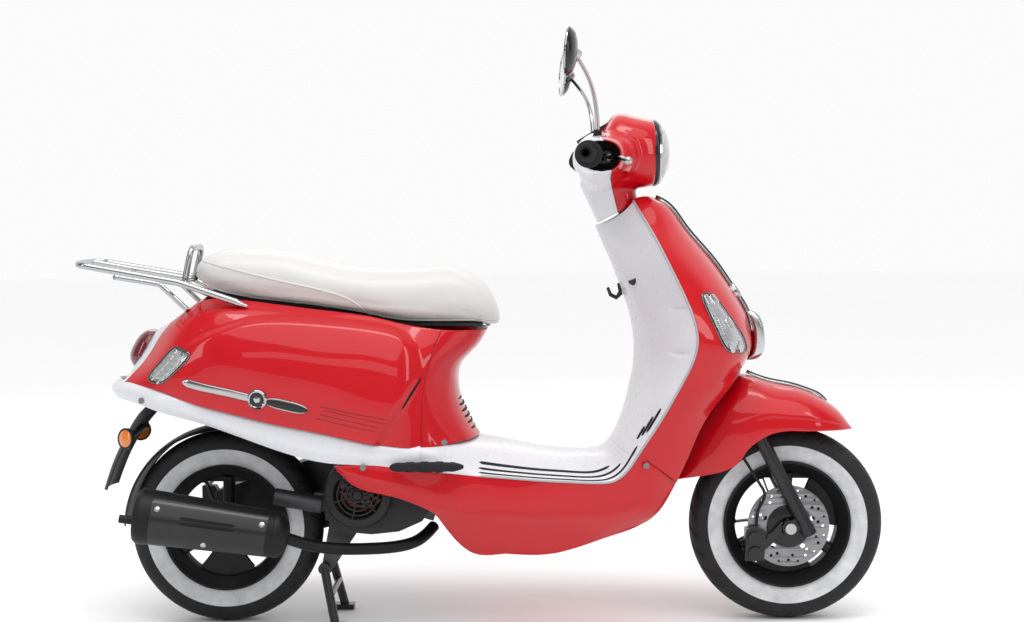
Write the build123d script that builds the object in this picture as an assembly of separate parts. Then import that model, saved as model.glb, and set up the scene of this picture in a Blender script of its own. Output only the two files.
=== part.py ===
from build123d import *
import math
import os

# A retro moped scooter. +X is forward, +Y is the rider's left, +Z is up.
# The origin is on the ground, under the middle of the whole scooter. Millimetres.

# Overall sizes
wheelbase = 1250.0
rear_axle_x = -575.0          # rear axle, from the origin
floor_half_width = 190.0      # widest point of floor and side skirts
rake = 27.0                   # steering axis, degrees back from upright

# Tyres and rims (3.50-10)
tyre_radius = 215.0
tyre_width = 90.0
bead_radius = 127.0
bead_half_width = 30.0
rim_wall = 5.0
tyre_wall = 9.0
hub_radius = 27.0

# Shafts, fits and fasteners
axle_radius = 7.0
running_fit = 0.05            # radial play of a shaft in its bore
front_hub_half = 46.0
disc_radius = 90.0
disc_y = -56.0
disc_thickness = 4.0

# Front fork
leg_y = 76.0                  # fork leg, sideways from the middle
leg_offset = 33.0             # fork legs, ahead of the steering axis
leg_radius = 15.5
stanchion_radius = 12.0
fork_travel = 50.0
leg_top = 217.0               # along the leg, from the axle
crown_low = 275.0
crown_thickness = 18.0
stem_radius = 15.0
head_low = 420.0              # head tube ends, along the steering axis from the axle
head_high = 640.0
head_tube_radius = 27.0
head_tube_wall = 4.0
bar_height = 912.0            # handlebar clamp, along the steering axis from the axle

# Handlebar
bar_radius = 11.0
grip_radius = 17.0
grip_inner_y = 240.0
grip_outer_y = 350.0
grip_squeeze = 0.1
flange_radius = 30.0

# Panels
panel_wall = 3.0

# Engine and rear suspension
crank_x, crank_z = -267.0, 306.0
swing_x, swing_z = -120.0, 345.0
swing_tube_radius = 14.0
swing_tube_half = 70.0
swing_bolt_radius = 6.0
fan_radius = 60.0
fan_cover_radius = 78.0
fan_cover_y = -168.0
rail_radius = 13.0
muffler_wall = 2.0
shock_y = 122.0
shock_top = Vector(-548, shock_y, 590)
shock_foot = Vector(-640, shock_y, 300)
stand_x, stand_z = -352.0, 128.0
stand_pin_radius = 6.0
stand_leg_radius = 10.0
stand_half_width = 96.0

# Derived places
axle_z = tyre_radius
front_axle_x = rear_axle_x + wheelbase
rear_shift = rear_axle_x + 575.0
front_shift = front_axle_x - 675.0
floor_rear, floor_front = -130.0, 256.0
rake_angle = math.radians(rake)
up_steer = Vector(-math.sin(rake_angle), 0, math.cos(rake_angle))
ahead_steer = Vector(math.cos(rake_angle), 0, math.sin(rake_angle))
front_axle = Vector(front_axle_x, 0, axle_z)
rear_axle = Vector(rear_axle_x, 0, axle_z)


def station(x):
    """Moves a lengthwise place with the axles: the floor between them stretches."""
    if x <= floor_rear:
        return x + rear_shift
    if x >= floor_front:
        return x + front_shift
    share = (x - floor_rear) / (floor_front - floor_rear)
    return x + rear_shift + share * (front_shift - rear_shift)


def wide(y):
    """Scales a half width of the body with the floor's half width."""
    return y * floor_half_width / 190.0


def at(x, y, z):
    return Vector(station(x), wide(y), z)


def mirrored(shape):
    return shape.mirror(Plane.XZ)


def both(shape):
    return [shape, mirrored(shape)]


def rod(start, end, radius, inner=0.0):
    """A round bar or, with an inner radius, a tube between two points."""
    start, end = Vector(start), Vector(end)
    plane = Plane(origin=start, z_dir=end - start)
    section = plane * Circle(radius)
    if inner:
        section -= plane * Circle(inner)
    return extrude(section, amount=(end - start).length, dir=(end - start).normalized())


def cone(start, end, radius_start, radius_end):
    start, end = Vector(start), Vector(end)
    length = (end - start).length
    body = Cone(radius_start, radius_end, length, align=(Align.CENTER, Align.CENTER, Align.MIN))
    return Plane(origin=start, z_dir=end - start) * body


def bent_bar(points, radius, bend, inner=0.0):
    """A round bar swept along straight runs joined by arcs of the radius bend."""
    path = FilletPolyline(*[tuple(p) for p in points], radius=bend)
    start = Plane(origin=path @ 0, z_dir=path % 0)
    bar = sweep(start * Circle(radius), path=path)
    if inner:
        bar -= sweep(start * Circle(inner), path=path)
    return bar


def slab(outline, y_low, y_high):
    """An outline in the XZ plane, made solid between two sideways places."""
    face = make_face(Polyline(*[(x, 0, z) for x, z in outline], close=True))
    return extrude(face.moved(Location((0, y_low, 0))), amount=y_high - y_low, dir=(0, 1, 0))


def turned(outline, centre):
    """A (radius, sideways) outline turned into a wheel about the Y axis through centre."""
    face = make_face(Polyline(*outline, close=True))
    return revolve(face, axis=Axis.Y).moved(Location(tuple(centre)))


def disc(centre, radius, y_low, y_high, inner=0.0):
    x, z = centre.X, centre.Z
    return rod((x, y_low, z), (x, y_high, z), radius, inner)


def skin(grid, wall=panel_wall):
    """A thin shell: the outer side runs through the grid, the inner side lies wall behind it."""
    rows, columns = len(grid), len(grid[0])

    def normal(i, j):
        along = grid[min(i + 1, rows - 1)][j] - grid[max(i - 1, 0)][j]
        across = grid[i][min(j + 1, columns - 1)] - grid[i][max(j - 1, 0)]
        way = along.cross(across)
        if abs(grid[i][j].Y) < 1e-6:
            way = Vector(way.X, 0, way.Z)
        return way.normalized()

    inner = [[grid[i][j] - normal(i, j) * wall for j in range(columns)] for i in range(rows)]
    faces = []

    def patch(a, b, c, d):
        for corners in ((a, b, c), (a, c, d)):
            faces.append(Face(Wire.make_polygon(corners)))

    for side in (grid, inner):
        for i in range(rows - 1):
            for j in range(columns - 1):
                patch(side[i][j], side[i + 1][j], side[i + 1][j + 1], side[i][j + 1])
    for j in range(columns - 1):
        for i in (0, rows - 1):
            patch(grid[i][j], grid[i][j + 1], inner[i][j + 1], inner[i][j])
    for i in range(rows - 1):
        for j in (0, columns - 1):
            patch(grid[i][j], grid[i + 1][j], inner[i + 1][j], inner[i][j])
    body = Solid(Shell(faces))
    return body if body.volume > 0 else -body


def through(first, middle, last, steps=4):
    """Points on the parabola through three points, from first to last."""
    row = []
    for k in range(steps + 1):
        t = k / steps
        row.append(first * (1 - t) * (1 - 2 * t) + middle * 4 * t * (1 - t) + last * t * (2 * t - 1))
    return row


def panel(rows, steps=4, wall=panel_wall):
    """A shell through rows of three (x, y, z) stations each."""
    return skin([through(*[at(*p) for p in row], steps) for row in rows], wall)


def closed_over(half):
    """Joins a half shell that ends on the middle plane to its mirror image."""
    return half + mirrored(half)


# ---- Wheels

def make_tyre(centre):
    half = tyre_width / 2
    outer = [(bead_radius + 12, bead_half_width + 3), (160, half - 5), (182, half),
             (tyre_radius - 12, half - 7), (tyre_radius - 3, half - 21), (tyre_radius, half - 33)]
    inner = [(tyre_radius - tyre_wall, half - 33), (tyre_radius - 14 - tyre_wall, half - 12),
             (182, half - tyre_wall), (160, half - 5 - tyre_wall), (bead_radius, bead_half_width - 8)]
    side = outer + inner
    lower = [(r, -y) for r, y in reversed(outer)]
    ring = [(bead_radius, bead_half_width + 3)] + outer + lower + [(bead_radius, -bead_half_width - 3)]
    cavity = inner[:-1] + [(bead_radius + 8, bead_half_width - 8), (bead_radius + 8, 8 - bead_half_width)]
    cavity += [(r, -y) for r, y in reversed(inner[:-1])]
    return turned(ring, centre) - turned(cavity, centre)


def make_rim(centre, hub_low, hub_high, bore):
    half = bead_half_width
    low = bead_radius - rim_wall
    barrel = turned([(bead_radius, -half), (bead_radius, half), (bead_radius, half + 3.2),
                     (bead_radius + 9, half + 3.2), (bead_radius + 9, half + 7), (low, half + 7),
                     (low - 8, half - 14), (low - 8, 14 - half), (low, -half - 7),
                     (bead_radius + 9, -half - 7), (bead_radius + 9, -half - 3.2),
                     (bead_radius, -half - 3.2)], centre)
    bore_ring = turned([(0, -half - 9), (low - 12, -half - 9), (low - 12, half + 9), (0, half + 9)], centre)
    wheel = (barrel - bore_ring) + disc(centre, low - 8, -13, 13)
    for turn in (0, 120, 240):
        window = [polar(centre, turn + a, r) for a, r in
                  ((10, 52), (2, low - 22), (22, low - 14), (44, low - 14), (64, low - 22), (56, 52))]
        wheel -= slab([(p.X, p.Z) for p in window], -20, 20)
    wheel += disc(centre, hub_radius, hub_low, hub_high)
    return wheel - disc(centre, bore, hub_low - 1, hub_high + 1)


def polar(centre, degrees, radius):
    a = math.radians(degrees)
    return Vector(centre.X + radius * math.cos(a), centre.Y, centre.Z + radius * math.sin(a))


def make_brake_disc():
    plate = disc(front_axle, disc_radius, disc_y - disc_thickness / 2, disc_y + disc_thickness / 2, 46)
    carrier = disc(front_axle, 50, disc_y + disc_thickness / 2, disc_y + disc_thickness / 2 + 3, hub_radius - 8)
    for k in range(24):
        hole = polar(front_axle, 15 * k, 68 + 8 * (k % 2))
        plate -= disc(hole, 4, disc_y - 5, disc_y + 5)
    return plate + carrier


# ---- Steering: stem, crown, fork, handlebar

def steer(along, ahead=0.0, y=0.0):
    """A place measured along the steering axis from the front axle."""
    return front_axle + up_steer * along + ahead_steer * ahead + Vector(0, y, 0)


def make_steering_stem():
    crown_mid = crown_low + crown_thickness / 2
    plane = Plane(origin=steer(crown_mid, leg_offset / 2 - 2), x_dir=(0, 1, 0), z_dir=up_steer)
    crown = plane * Box(2 * leg_y, leg_offset + 32, crown_thickness)
    crown = crown.solids()[0]
    for y in (-leg_y, leg_y):
        crown += rod(steer(crown_low, leg_offset, y), steer(crown_low + crown_thickness, leg_offset, y), 16)
    stem = rod(steer(crown_low), steer(bar_height + 4), stem_radius, stem_radius - 3)
    bars = [rod(steer(70, leg_offset, y), steer(crown_low + 5, leg_offset, y), stanchion_radius)
            for y in (-leg_y, leg_y)]
    return fuse([crown, stem] + bars)


def fuse(shapes):
    body = shapes[0]
    for shape in shapes[1:]:
        body = body + shape
    return body


def make_fork_legs():
    legs = []
    for y in (-leg_y, leg_y):
        leg = rod(steer(-34, leg_offset, y), steer(leg_top, leg_offset, y), leg_radius)
        leg += rod(steer(leg_top - 16, leg_offset, y), steer(leg_top, leg_offset, y), leg_radius + 2.5)
        lug = rod((front_axle_x, y - 9, axle_z), (front_axle_x, y + 9, axle_z), 17)
        lug_plane = Plane(origin=steer(0, leg_offset / 2, y), x_dir=(0, 1, 0), z_dir=up_steer)
        lug += lug_plane * Box(14, leg_offset, 26)
        leg += lug
        leg -= rod(steer(15, leg_offset, y), steer(leg_top + 1, leg_offset, y),
                   stanchion_radius + running_fit)
        leg -= rod((front_axle_x, y - 20, axle_z), (front_axle_x, y + 20, axle_z), axle_radius)
        legs.append(leg)
    return Compound(children=[s for leg in legs for s in leg.solids()])


def make_front_axle():
    axle = disc(front_axle, axle_radius, -leg_y - 14, leg_y + 14)
    for y in (-leg_y - 19, leg_y + 9.2):
        axle += disc(front_axle, 12, y, y + 9.8)
    return axle


def make_caliper():
    seat = steer(0, -disc_radius + 4)
    low, high = disc_y - 24, disc_y + 10
    body = slab([(seat.X - 22, seat.Z - 34), (seat.X + 20, seat.Z - 34), (seat.X + 24, seat.Z + 30),
                 (seat.X + 4, seat.Z + 42), (seat.X - 20, seat.Z + 36)], low, high)
    slot = disc(front_axle, disc_radius + 3, disc_y - 3, disc_y + 3)
    arm = slab([(seat.X + 16, seat.Z + 6), (front_axle_x - 18, axle_z + 14),
                (front_axle_x - 18, axle_z - 14), (seat.X + 16, seat.Z - 16)], low, disc_y - 5)
    bosses = [disc(Vector(seat.X, 0, seat.Z + dz), 15, low - 8, low + 1) for dz in (-17, 17)]
    return fuse([body - slot, arm] + bosses)


def make_brake_hose():
    """Hydraulic hose from the caliper up behind the right fork leg into the fender."""
    seat = steer(0, -disc_radius + 4)
    start = Vector(seat.X + 4, disc_y - 12, seat.Z + 44)
    points = [start, start + Vector(4, -2, 34), Vector(seat.X + 26, -70, seat.Z + 112),
              steer(186, -20, -69), steer(212, -15, -66)]
    return bent_bar(points, 3.2, 26)


def make_handlebar():
    clamp = steer(bar_height)
    bar = bent_bar([clamp + Vector(-8, -grip_outer_y + 4, 0) + Vector(-30, 0, 4),
                    clamp + Vector(-28, -grip_inner_y, 4), clamp + Vector(30, -60, -4),
                    clamp + Vector(30, 60, -4), clamp + Vector(-28, grip_inner_y, 4),
                    clamp + Vector(-38, grip_outer_y - 4, 4)], bar_radius, 40, bar_radius - 3)
    sleeve = rod(steer(bar_height - 28), steer(bar_height + 14), stem_radius + 6)
    sleeve -= rod(steer(bar_height - 40), steer(bar_height + 4), stem_radius)
    link = slab([(clamp.X, clamp.Z - 8), (clamp.X + 30, clamp.Z - 13), (clamp.X + 30, clamp.Z + 6),
                 (clamp.X, clamp.Z + 8)], -18, 18)
    link -= rod(steer(bar_height - 40), steer(bar_height + 40), stem_radius)
    return biggest(bar + sleeve + link)


def grip_axis():
    clamp = steer(bar_height)
    inner = clamp + Vector(-28, -grip_inner_y, 4)
    outer = clamp + Vector(-38, -grip_outer_y + 4, 4)
    return inner, (outer - inner).normalized(), (outer - inner).length


def make_grip(play):
    start, way, length = grip_axis()
    first, last = start + way * 4, start + way * (length + 6)
    grip = rod(first, last, grip_radius) + rod(first, first + way * 7, flange_radius)
    return grip - rod(start, start + way * (length + 0.3), bar_radius + play)


# ---- Handlebar covers, lamp and mirrors

lamp_centre = Vector(395 + front_shift, 0, 1040)
lamp_radius = 66.0
nacelle = ((206, 1026, 60, 34), (250, 1030, 100, 55), (300, 1040, 106, 84),
           (350, 1041, 96, 80), (388, 1040, 70, 69))


def nacelle_body(inset):
    """The headlamp housing with its two arms and its neck, as one solid."""
    rings = []
    for x, z, half_width, half_height in nacelle:
        plane = Plane(origin=(x + front_shift, 0, z), x_dir=(0, 1, 0), z_dir=(1, 0, 0))
        rings.append(plane * Ellipse(half_width - inset, half_height - inset))
    if inset:
        x, z, half_width, half_height = nacelle[-1]
        plane = Plane(origin=(x + front_shift + 4, 0, z), x_dir=(0, 1, 0), z_dir=(1, 0, 0))
        rings.append(plane * Ellipse(half_width - inset, half_height - inset))
    body = loft(rings)
    clamp = steer(bar_height)
    for side in (-1, 1):
        inner = clamp + Vector(4, side * 60, 2)
        outer = clamp + Vector(-28, side * (grip_inner_y - 6 - inset / 3), 3)
        body += cone(inner, outer, 40 - inset, 25 - inset)
    neck_low = steer(798 - inset)
    neck = cone(neck_low, steer(880), 40 - inset, 50 - inset)
    return body + neck


def make_nacelle_shells():
    whole = nacelle_body(0) - nacelle_body(panel_wall)
    whole -= rod((300 + front_shift, 0, 1040), (420 + front_shift, 0, 1040), lamp_radius - 8)
    cut = [(180, 900), (300, 900), (286, 985), (266, 1010), (262, 1150), (180, 1150)]
    rear_zone = slab([(x + front_shift, z) for x, z in cut], -260, 260)
    front_zone = slab([(x + front_shift + 1.2, z) for x, z in cut[1:5]]
                      + [(460 + front_shift, 1150), (460 + front_shift, 850), (301.2 + front_shift, 850)],
                      -260, 260)
    rear_zone += slab([(180 + front_shift, 850), (300 + front_shift, 850), (300 + front_shift, 901),
                       (180 + front_shift, 901)], -260, 260)
    dial_hole = dial_rod(-30, 40, 51)
    mirror_holes = [rod(p + Vector(0, 0, -30), p + Vector(0, 0, 40), 9) for p in mirror_feet()]
    front = (whole & front_zone) - dial_hole
    rear = (whole & rear_zone) - dial_hole
    pin, (start, way, _) = lever_pivot(), grip_axis()
    right_holes = [rod(start - way * 26, start + way * 8, bar_radius + 9.5),
                   Box(112, 60, 40).moved(Location((pin.X + 26, pin.Y - 15, pin.Z)))]
    for hole in mirror_holes + right_holes + [mirrored(h) for h in right_holes]:
        front -= hole
        rear -= hole
    for hole in (button_rod("start", -20, 20, 8.6), button_rod("horn", -20, 20, 8.6)):
        rear -= hole
    return biggest(front), biggest(rear)


def biggest(shape):
    return max(shape.solids(), key=lambda s: s.volume)


def dial_rod(low, high, radius):
    centre = Vector(262 + front_shift, 0, 1083)
    way = Vector(-0.5, 0, 0.866)
    return rod(centre + way * low, centre + way * high, radius)


def make_instruments():
    bezel = dial_rod(-6, 11, 50) + dial_rod(-26, -5, 45.5)
    return bezel - dial_rod(6, 14, 44)


def button_rod(name, low, high, radius):
    side = -1 if name == "start" else 1
    clamp = steer(bar_height)
    centre = clamp + Vector(-44, side * 165, 4)
    return rod(centre + Vector(-high, 0, 0), centre + Vector(-low, 0, 0), radius)


def make_button(name):
    return button_rod(name, -8, 8, 8)


def make_lamp_bezel():
    x = lamp_centre.X
    back = rod((x - 4, 0, 1040), (x + 4, 0, 1040), lamp_radius + 4, lamp_radius - 10)
    bowl = cone((x - 60, 0, 1040), (x - 4, 0, 1040), 20, lamp_radius - 9)
    bowl -= cone((x - 57, 0, 1040), (x - 3.9, 0, 1040), 17, lamp_radius - 12)
    ring = rod((x + 4, 0, 1040), (x + 8, 0, 1040), lamp_radius + 2, lamp_radius - 5)
    return back + bowl + ring + rod((x - 5, 0, 1040), (x - 4, 0, 1040), lamp_radius - 8, lamp_radius - 12.5)


def make_lamp_lens():
    x = lamp_centre.X + 4.2
    radius, rise, glass = lamp_radius - 5.3, 24.0, 3.0
    profile = [(0, rise - glass), (radius * 0.6, rise * 0.72 - glass), (radius - glass, 0), (radius, 0),
               (radius * 0.62, rise * 0.74), (0, rise)]
    dome = revolve(make_face(Polyline(*profile, close=True)), axis=Axis.Y)
    return dome.rotate(Axis.Z, -90).moved(Location((x, 0, 1040)))


def mirror_feet():
    clamp = steer(bar_height)
    return [clamp + Vector(-6, side * 132, 30) for side in (-1, 1)]


def make_mirror():
    """Right mirror: foot, tapered elbow stem and round head with its rim."""
    foot = mirror_feet()[0]
    knee = Vector(foot.X - 26, -236, 1198)
    head = Vector(foot.X - 62, -300, 1240)
    boot = cone(foot + Vector(0, 0, -8), foot + Vector(0, 0, 26), 8.8, 6.5)
    stem = cone(foot + Vector(0, 0, 20), knee, 5, 4.2) + Sphere(4.6).moved(Location(tuple(knee)))
    arm = cone(knee, head + Vector(14, 8, -8), 4.6, 6)
    way = Vector(-1, 0.12, 0.08).normalized()
    cup = cone(head - way * 12, head, 34, 52) + rod(head, head + way * 5, 52.5)
    cup -= rod(head + way * 3, head + way * 6, 48)
    return fuse([boot, stem, arm, cup])


def lever_pivot():
    return steer(bar_height) + Vector(12, -205, -2)


def make_brake_lever():
    """Right lever blade, turning on an upright pin under the grip's inner end."""
    pin = lever_pivot()
    start, way, length = grip_axis()
    tip = start + way * (length - 40) + Vector(84, 0, -16)
    middle = start + way * 20 + Vector(62, 0, -8)
    blade = bent_bar([pin, middle, tip], 5.5, 60)
    boss = rod(pin + Vector(0, 0, -7), pin + Vector(0, 0, 7), 11)
    ball = Sphere(8.5).moved(Location(tuple(tip)))
    lever = biggest(blade + boss + ball)
    return lever - rod(pin + Vector(0, 0, -9), pin + Vector(0, 0, 9), 4 + running_fit)


def make_lever_bracket(sign):
    """Fixed clamp on the bar with the lever's pin and a fork round its boss."""
    pin = lever_pivot()
    start, way, _ = grip_axis()
    ring = rod(start + way * -22, start + way * -6, bar_radius + 7, bar_radius)
    arm = [Box(30, 20, 5).moved(Location((pin.X - 10, pin.Y - 6, pin.Z + dz))) for dz in (-9.8, 9.8)]
    post = rod(pin + Vector(0, 0, -12), pin + Vector(0, 0, 12), 4)
    bracket = fuse([ring, post] + arm)
    bracket -= rod(start + way * -60, start + way * 30, bar_radius)
    return bracket if sign < 0 else mirrored(bracket)


# ---- Body panels, each as rows of outer points

def front_fender():
    ridge = ((425, 332), (450, 425), (492, 505), (545, 548), (600, 540), (655, 524),
             (712, 507), (760, 486), (797, 456), (820, 428))
    edge = ((432, 326, 78), (500, 340, 100), (548, 358, 110), (574, 388, 116), (603, 412, 118),
            (642, 430, 116), (700, 432, 108), (754, 430, 90), (790, 429, 66), (815, 427, 34))
    grid = []
    for (rx, rz), (ex, ez, half) in zip(ridge, edge):
        row = []
        for k in range(-4, 5):
            turn = math.radians(22.5 * k)
            lift = abs(math.cos(turn)) ** 0.8
            side = math.copysign(abs(math.sin(turn)) ** 0.85, k)
            row.append(Vector(station(ex + (rx - ex) * lift), side * half, ez + (rz - ez) * lift))
        grid.append(row)
    shell = skin(grid)
    return shell - rod(steer(250), steer(420), stem_radius + 12)


def leg_shield_front():
    """Rows from the top down: outer edge, shoulder, and crest or wheel cut-out."""
    half = panel([((336, 52, 939), (366, 32, 942), (382, 0, 944)),
                  ((371, 112, 870), (428, 62, 872), (452, 0, 873)),
                  ((405, 160, 800), (470, 92, 803), (512, 0, 806)),
                  ((441, 189, 720), (522, 112, 722), (565, 0, 724)),
                  ((462, 205, 640), (556, 122, 644), (598, 0, 650)),
                  ((446, 204, 580), (554, 128, 584), (602, 0, 588)),
                  ((434, 203, 556), (530, 148, 557), (562, 100, 552)),
                  ((402, 197, 500), (468, 175, 497), (508, 134, 495)),
                  ((365, 194, 441), (428, 178, 441), (470, 140, 441)),
                  ((334, 191, 392), (393, 176, 384), (440, 149, 377))])
    pocket = lens_pocket(front_lens)
    return closed_over(half) - pocket - mirrored(pocket)


def leg_shield_inner():
    """Rider's side of the leg shield, from the steering neck down to the floor."""
    half = panel([((333, 51, 932), (298, 41, 902), (254, 0, 882)),
                  ((366, 106, 868), (336, 62, 850), (284, 0, 820)),
                  ((401, 156, 798), (362, 92, 784), (312, 0, 750)),
                  ((436, 184, 718), (392, 110, 712), (330, 0, 690)),
                  ((457, 200, 638), (398, 118, 632), (338, 0, 620)),
                  ((441, 198, 580), (392, 118, 572), (334, 0, 552)),
                  ((398, 193, 502), (362, 116, 496), (320, 0, 490)),
                  ((362, 190, 446), (332, 114, 440), (306, 0, 440)),
                  ((326, 187, 392), (302, 112, 380), (289, 0, 412))], wall=-panel_wall)
    return closed_over(half) - lock_rod(-40, 20, lock_radius + 0.8)


def floorboard():
    """Foot boards with the raised tunnel between them, front to back."""
    half = panel([((318, 186, 372), (300, 112, 368), (285, 0, 405)),
                  ((278, 186, 340), (262, 112, 346), (262, 0, 386)),
                  ((200, 187, 341), (200, 108, 348), (200, 0, 382)),
                  ((90, 187, 347), (90, 108, 354), (90, 0, 398)),
                  ((0, 187, 354), (0, 118, 364), (14, 0, 408)),
                  ((-60, 188, 360), (-58, 150, 384), (-14, 0, 416)),
                  ((-126, 187, 367), (-118, 178, 397), (-84, 130, 431))], wall=-panel_wall)
    return closed_over(half)


def floor_mats():
    """Three rubber strips a side, lying on the foot boards."""
    strips = []
    for y in (128, 150, 172):
        lift = 4.5 + (172 - y) * 0.07
        strips.append(panel([((0, y - 5, 361 + lift), (0, y, 361 + lift), (0, y + 5, 361 + lift)),
                             ((90, y - 5, 354 + lift), (90, y, 354 + lift), (90, y + 5, 354 + lift)),
                             ((200, y - 5, 348 + lift), (200, y, 348 + lift), (200, y + 5, 348 + lift)),
                             ((250, y - 5, 347 + lift), (250, y, 347 + lift), (250, y + 5, 347 + lift))],
                            steps=2, wall=2.0))
    return strips


def lower_skirts():
    """Red side skirts under the floor and the belly pan between them."""
    side = panel([((-296, 187, 378), (-300, 184, 377), (-308, 180, 374)),
                  ((-176, 188, 367), (-180, 187, 338), (-189, 178, 312)),
                  ((-100, 189, 357), (-108, 186, 312), (-118, 178, 284)),
                  ((0, 190, 347), (0, 184, 262), (-20, 112, 176)),
                  ((128, 190, 338), (128, 182, 255), (128, 112, 170)),
                  ((215, 190, 333), (215, 178, 258), (206, 112, 187)),
                  ((256, 190, 332), (280, 174, 268), (280, 112, 217)),
                  ((300, 190, 343), (332, 170, 290), (348, 112, 241)),
                  ((332, 188, 386), (380, 164, 325), (398, 120, 285))])
    belly = panel([((-16, 105, 172), (-16, 0, 164), (-16, -105, 172)),
                   ((128, 105, 166), (128, 0, 158), (128, -105, 166)),
                   ((206, 105, 183), (206, 0, 176), (206, -105, 183)),
                   ((280, 105, 213), (280, 0, 207), (280, -105, 213)),
                   ((345, 105, 237), (345, 0, 232), (345, -105, 237))])
    pin_x, pin_y, _ = peg_pin
    side -= Box(36, 60, 24).moved(Location((pin_x - 8, pin_y - 20, peg_low - 6)))
    return [side, mirrored(side), belly]


def seat_front_cover():
    """Upright front of the under-seat body, wrapped round to the cowls, with vent slots."""
    half = panel([((-74, 116, 650), (-34, 104, 652), (12, 0, 652)),
                  ((-100, 138, 610), (-66, 112, 606), (-20, 0, 604)),
                  ((-108, 152, 560), (-84, 120, 556), (-52, 0, 552)),
                  ((-118, 162, 500), (-86, 124, 496), (-44, 0, 490)),
                  ((-124, 172, 445), (-84, 130, 438), (-24, 0, 425))])
    shell = closed_over(half)
    for k in range(6):
        z = 440 + 12 * k
        shell -= Box(80, 44, 4).moved(Location((-30 + rear_shift, 0, z)))
    return shell


cowl_rows = (((-84, 120, 655), (-119, 157, 560), (-137, 176, 438)),
             ((-150, 122, 666), (-165, 178, 560), (-170, 182, 424)),
             ((-220, 125, 678), (-220, 190, 560), (-222, 184, 424)),
             ((-330, 127, 696), (-330, 196, 585), (-330, 184, 450)),
             ((-450, 124, 702), (-450, 194, 605), (-450, 183, 478)),
             ((-560, 110, 712), (-560, 182, 625), (-560, 178, 503)),
             ((-625, 94, 698), (-630, 158, 620), (-640, 165, 522)),
             ((-676, 78, 672), (-690, 128, 610), (-712, 136, 542)))


def side_cowl():
    shell = panel([[(x, -y, z) for x, y, z in reversed(row)] for row in cowl_rows], steps=5)
    return shell - lens_pocket(rear_lens)


def side_trim():
    """White band under the cowl, from the floor to the tail's point."""
    rows = (((-130, 176, 425), (-130, 188, 400), (-130, 187, 370)),
            ((-215, 184, 414), (-215, 189, 395), (-215, 188, 374)),
            ((-322, 185, 439), (-322, 189, 412), (-322, 187, 380)),
            ((-450, 184, 468), (-450, 187, 444), (-450, 184, 420)),
            ((-560, 178, 493), (-560, 180, 473), (-560, 177, 453)),
            ((-650, 163, 516), (-650, 164, 500), (-650, 160, 478)),
            ((-730, 128, 540), (-733, 128, 524), (-730, 122, 500)),
            ((-795, 66, 545), (-800, 62, 528), (-794, 58, 507)),
            ((-822, 3, 545), (-829, 3, 526), (-820, 3, 508)))
    return panel([[(x, -y, z) for x, y, z in reversed(row)] for row in rows], steps=2)


def tail_cover():
    """Red deck behind the seat and the pale surround of the tail lamp, in one moulding."""
    half = panel([((-612, 92, 714), (-610, 50, 730), (-606, 0, 734)),
                  ((-660, 76, 688), (-658, 44, 694), (-655, 0, 696)),
                  ((-690, 72, 656), (-694, 44, 662), (-700, 0, 664)),
                  ((-735, 74, 600), (-744, 46, 600), (-750, 0, 600)),
                  ((-768, 72, 552), (-780, 44, 548), (-786, 0, 546))])
    return closed_over(half)


def tail_lamp():
    grid = [((-716, -46, 652), (-728, 0, 658), (-716, 46, 652)),
            ((-752, -54, 634), (-778, 0, 636), (-752, 54, 634)),
            ((-776, -54, 585), (-794, 0, 585), (-776, 54, 585)),
            ((-786, -46, 564), (-804, 0, 562), (-786, 46, 564))]
    return panel([list(reversed(row)) for row in grid], wall=3)


# ---- Frame and what it carries

def place(x, y, z):
    """A frame place: moved with the axles, but not widened with the body."""
    return Vector(station(x), y, z)


peg_low = 364.0
peg_pin = (station(-48), wide(190) + 20, peg_low)


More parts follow.
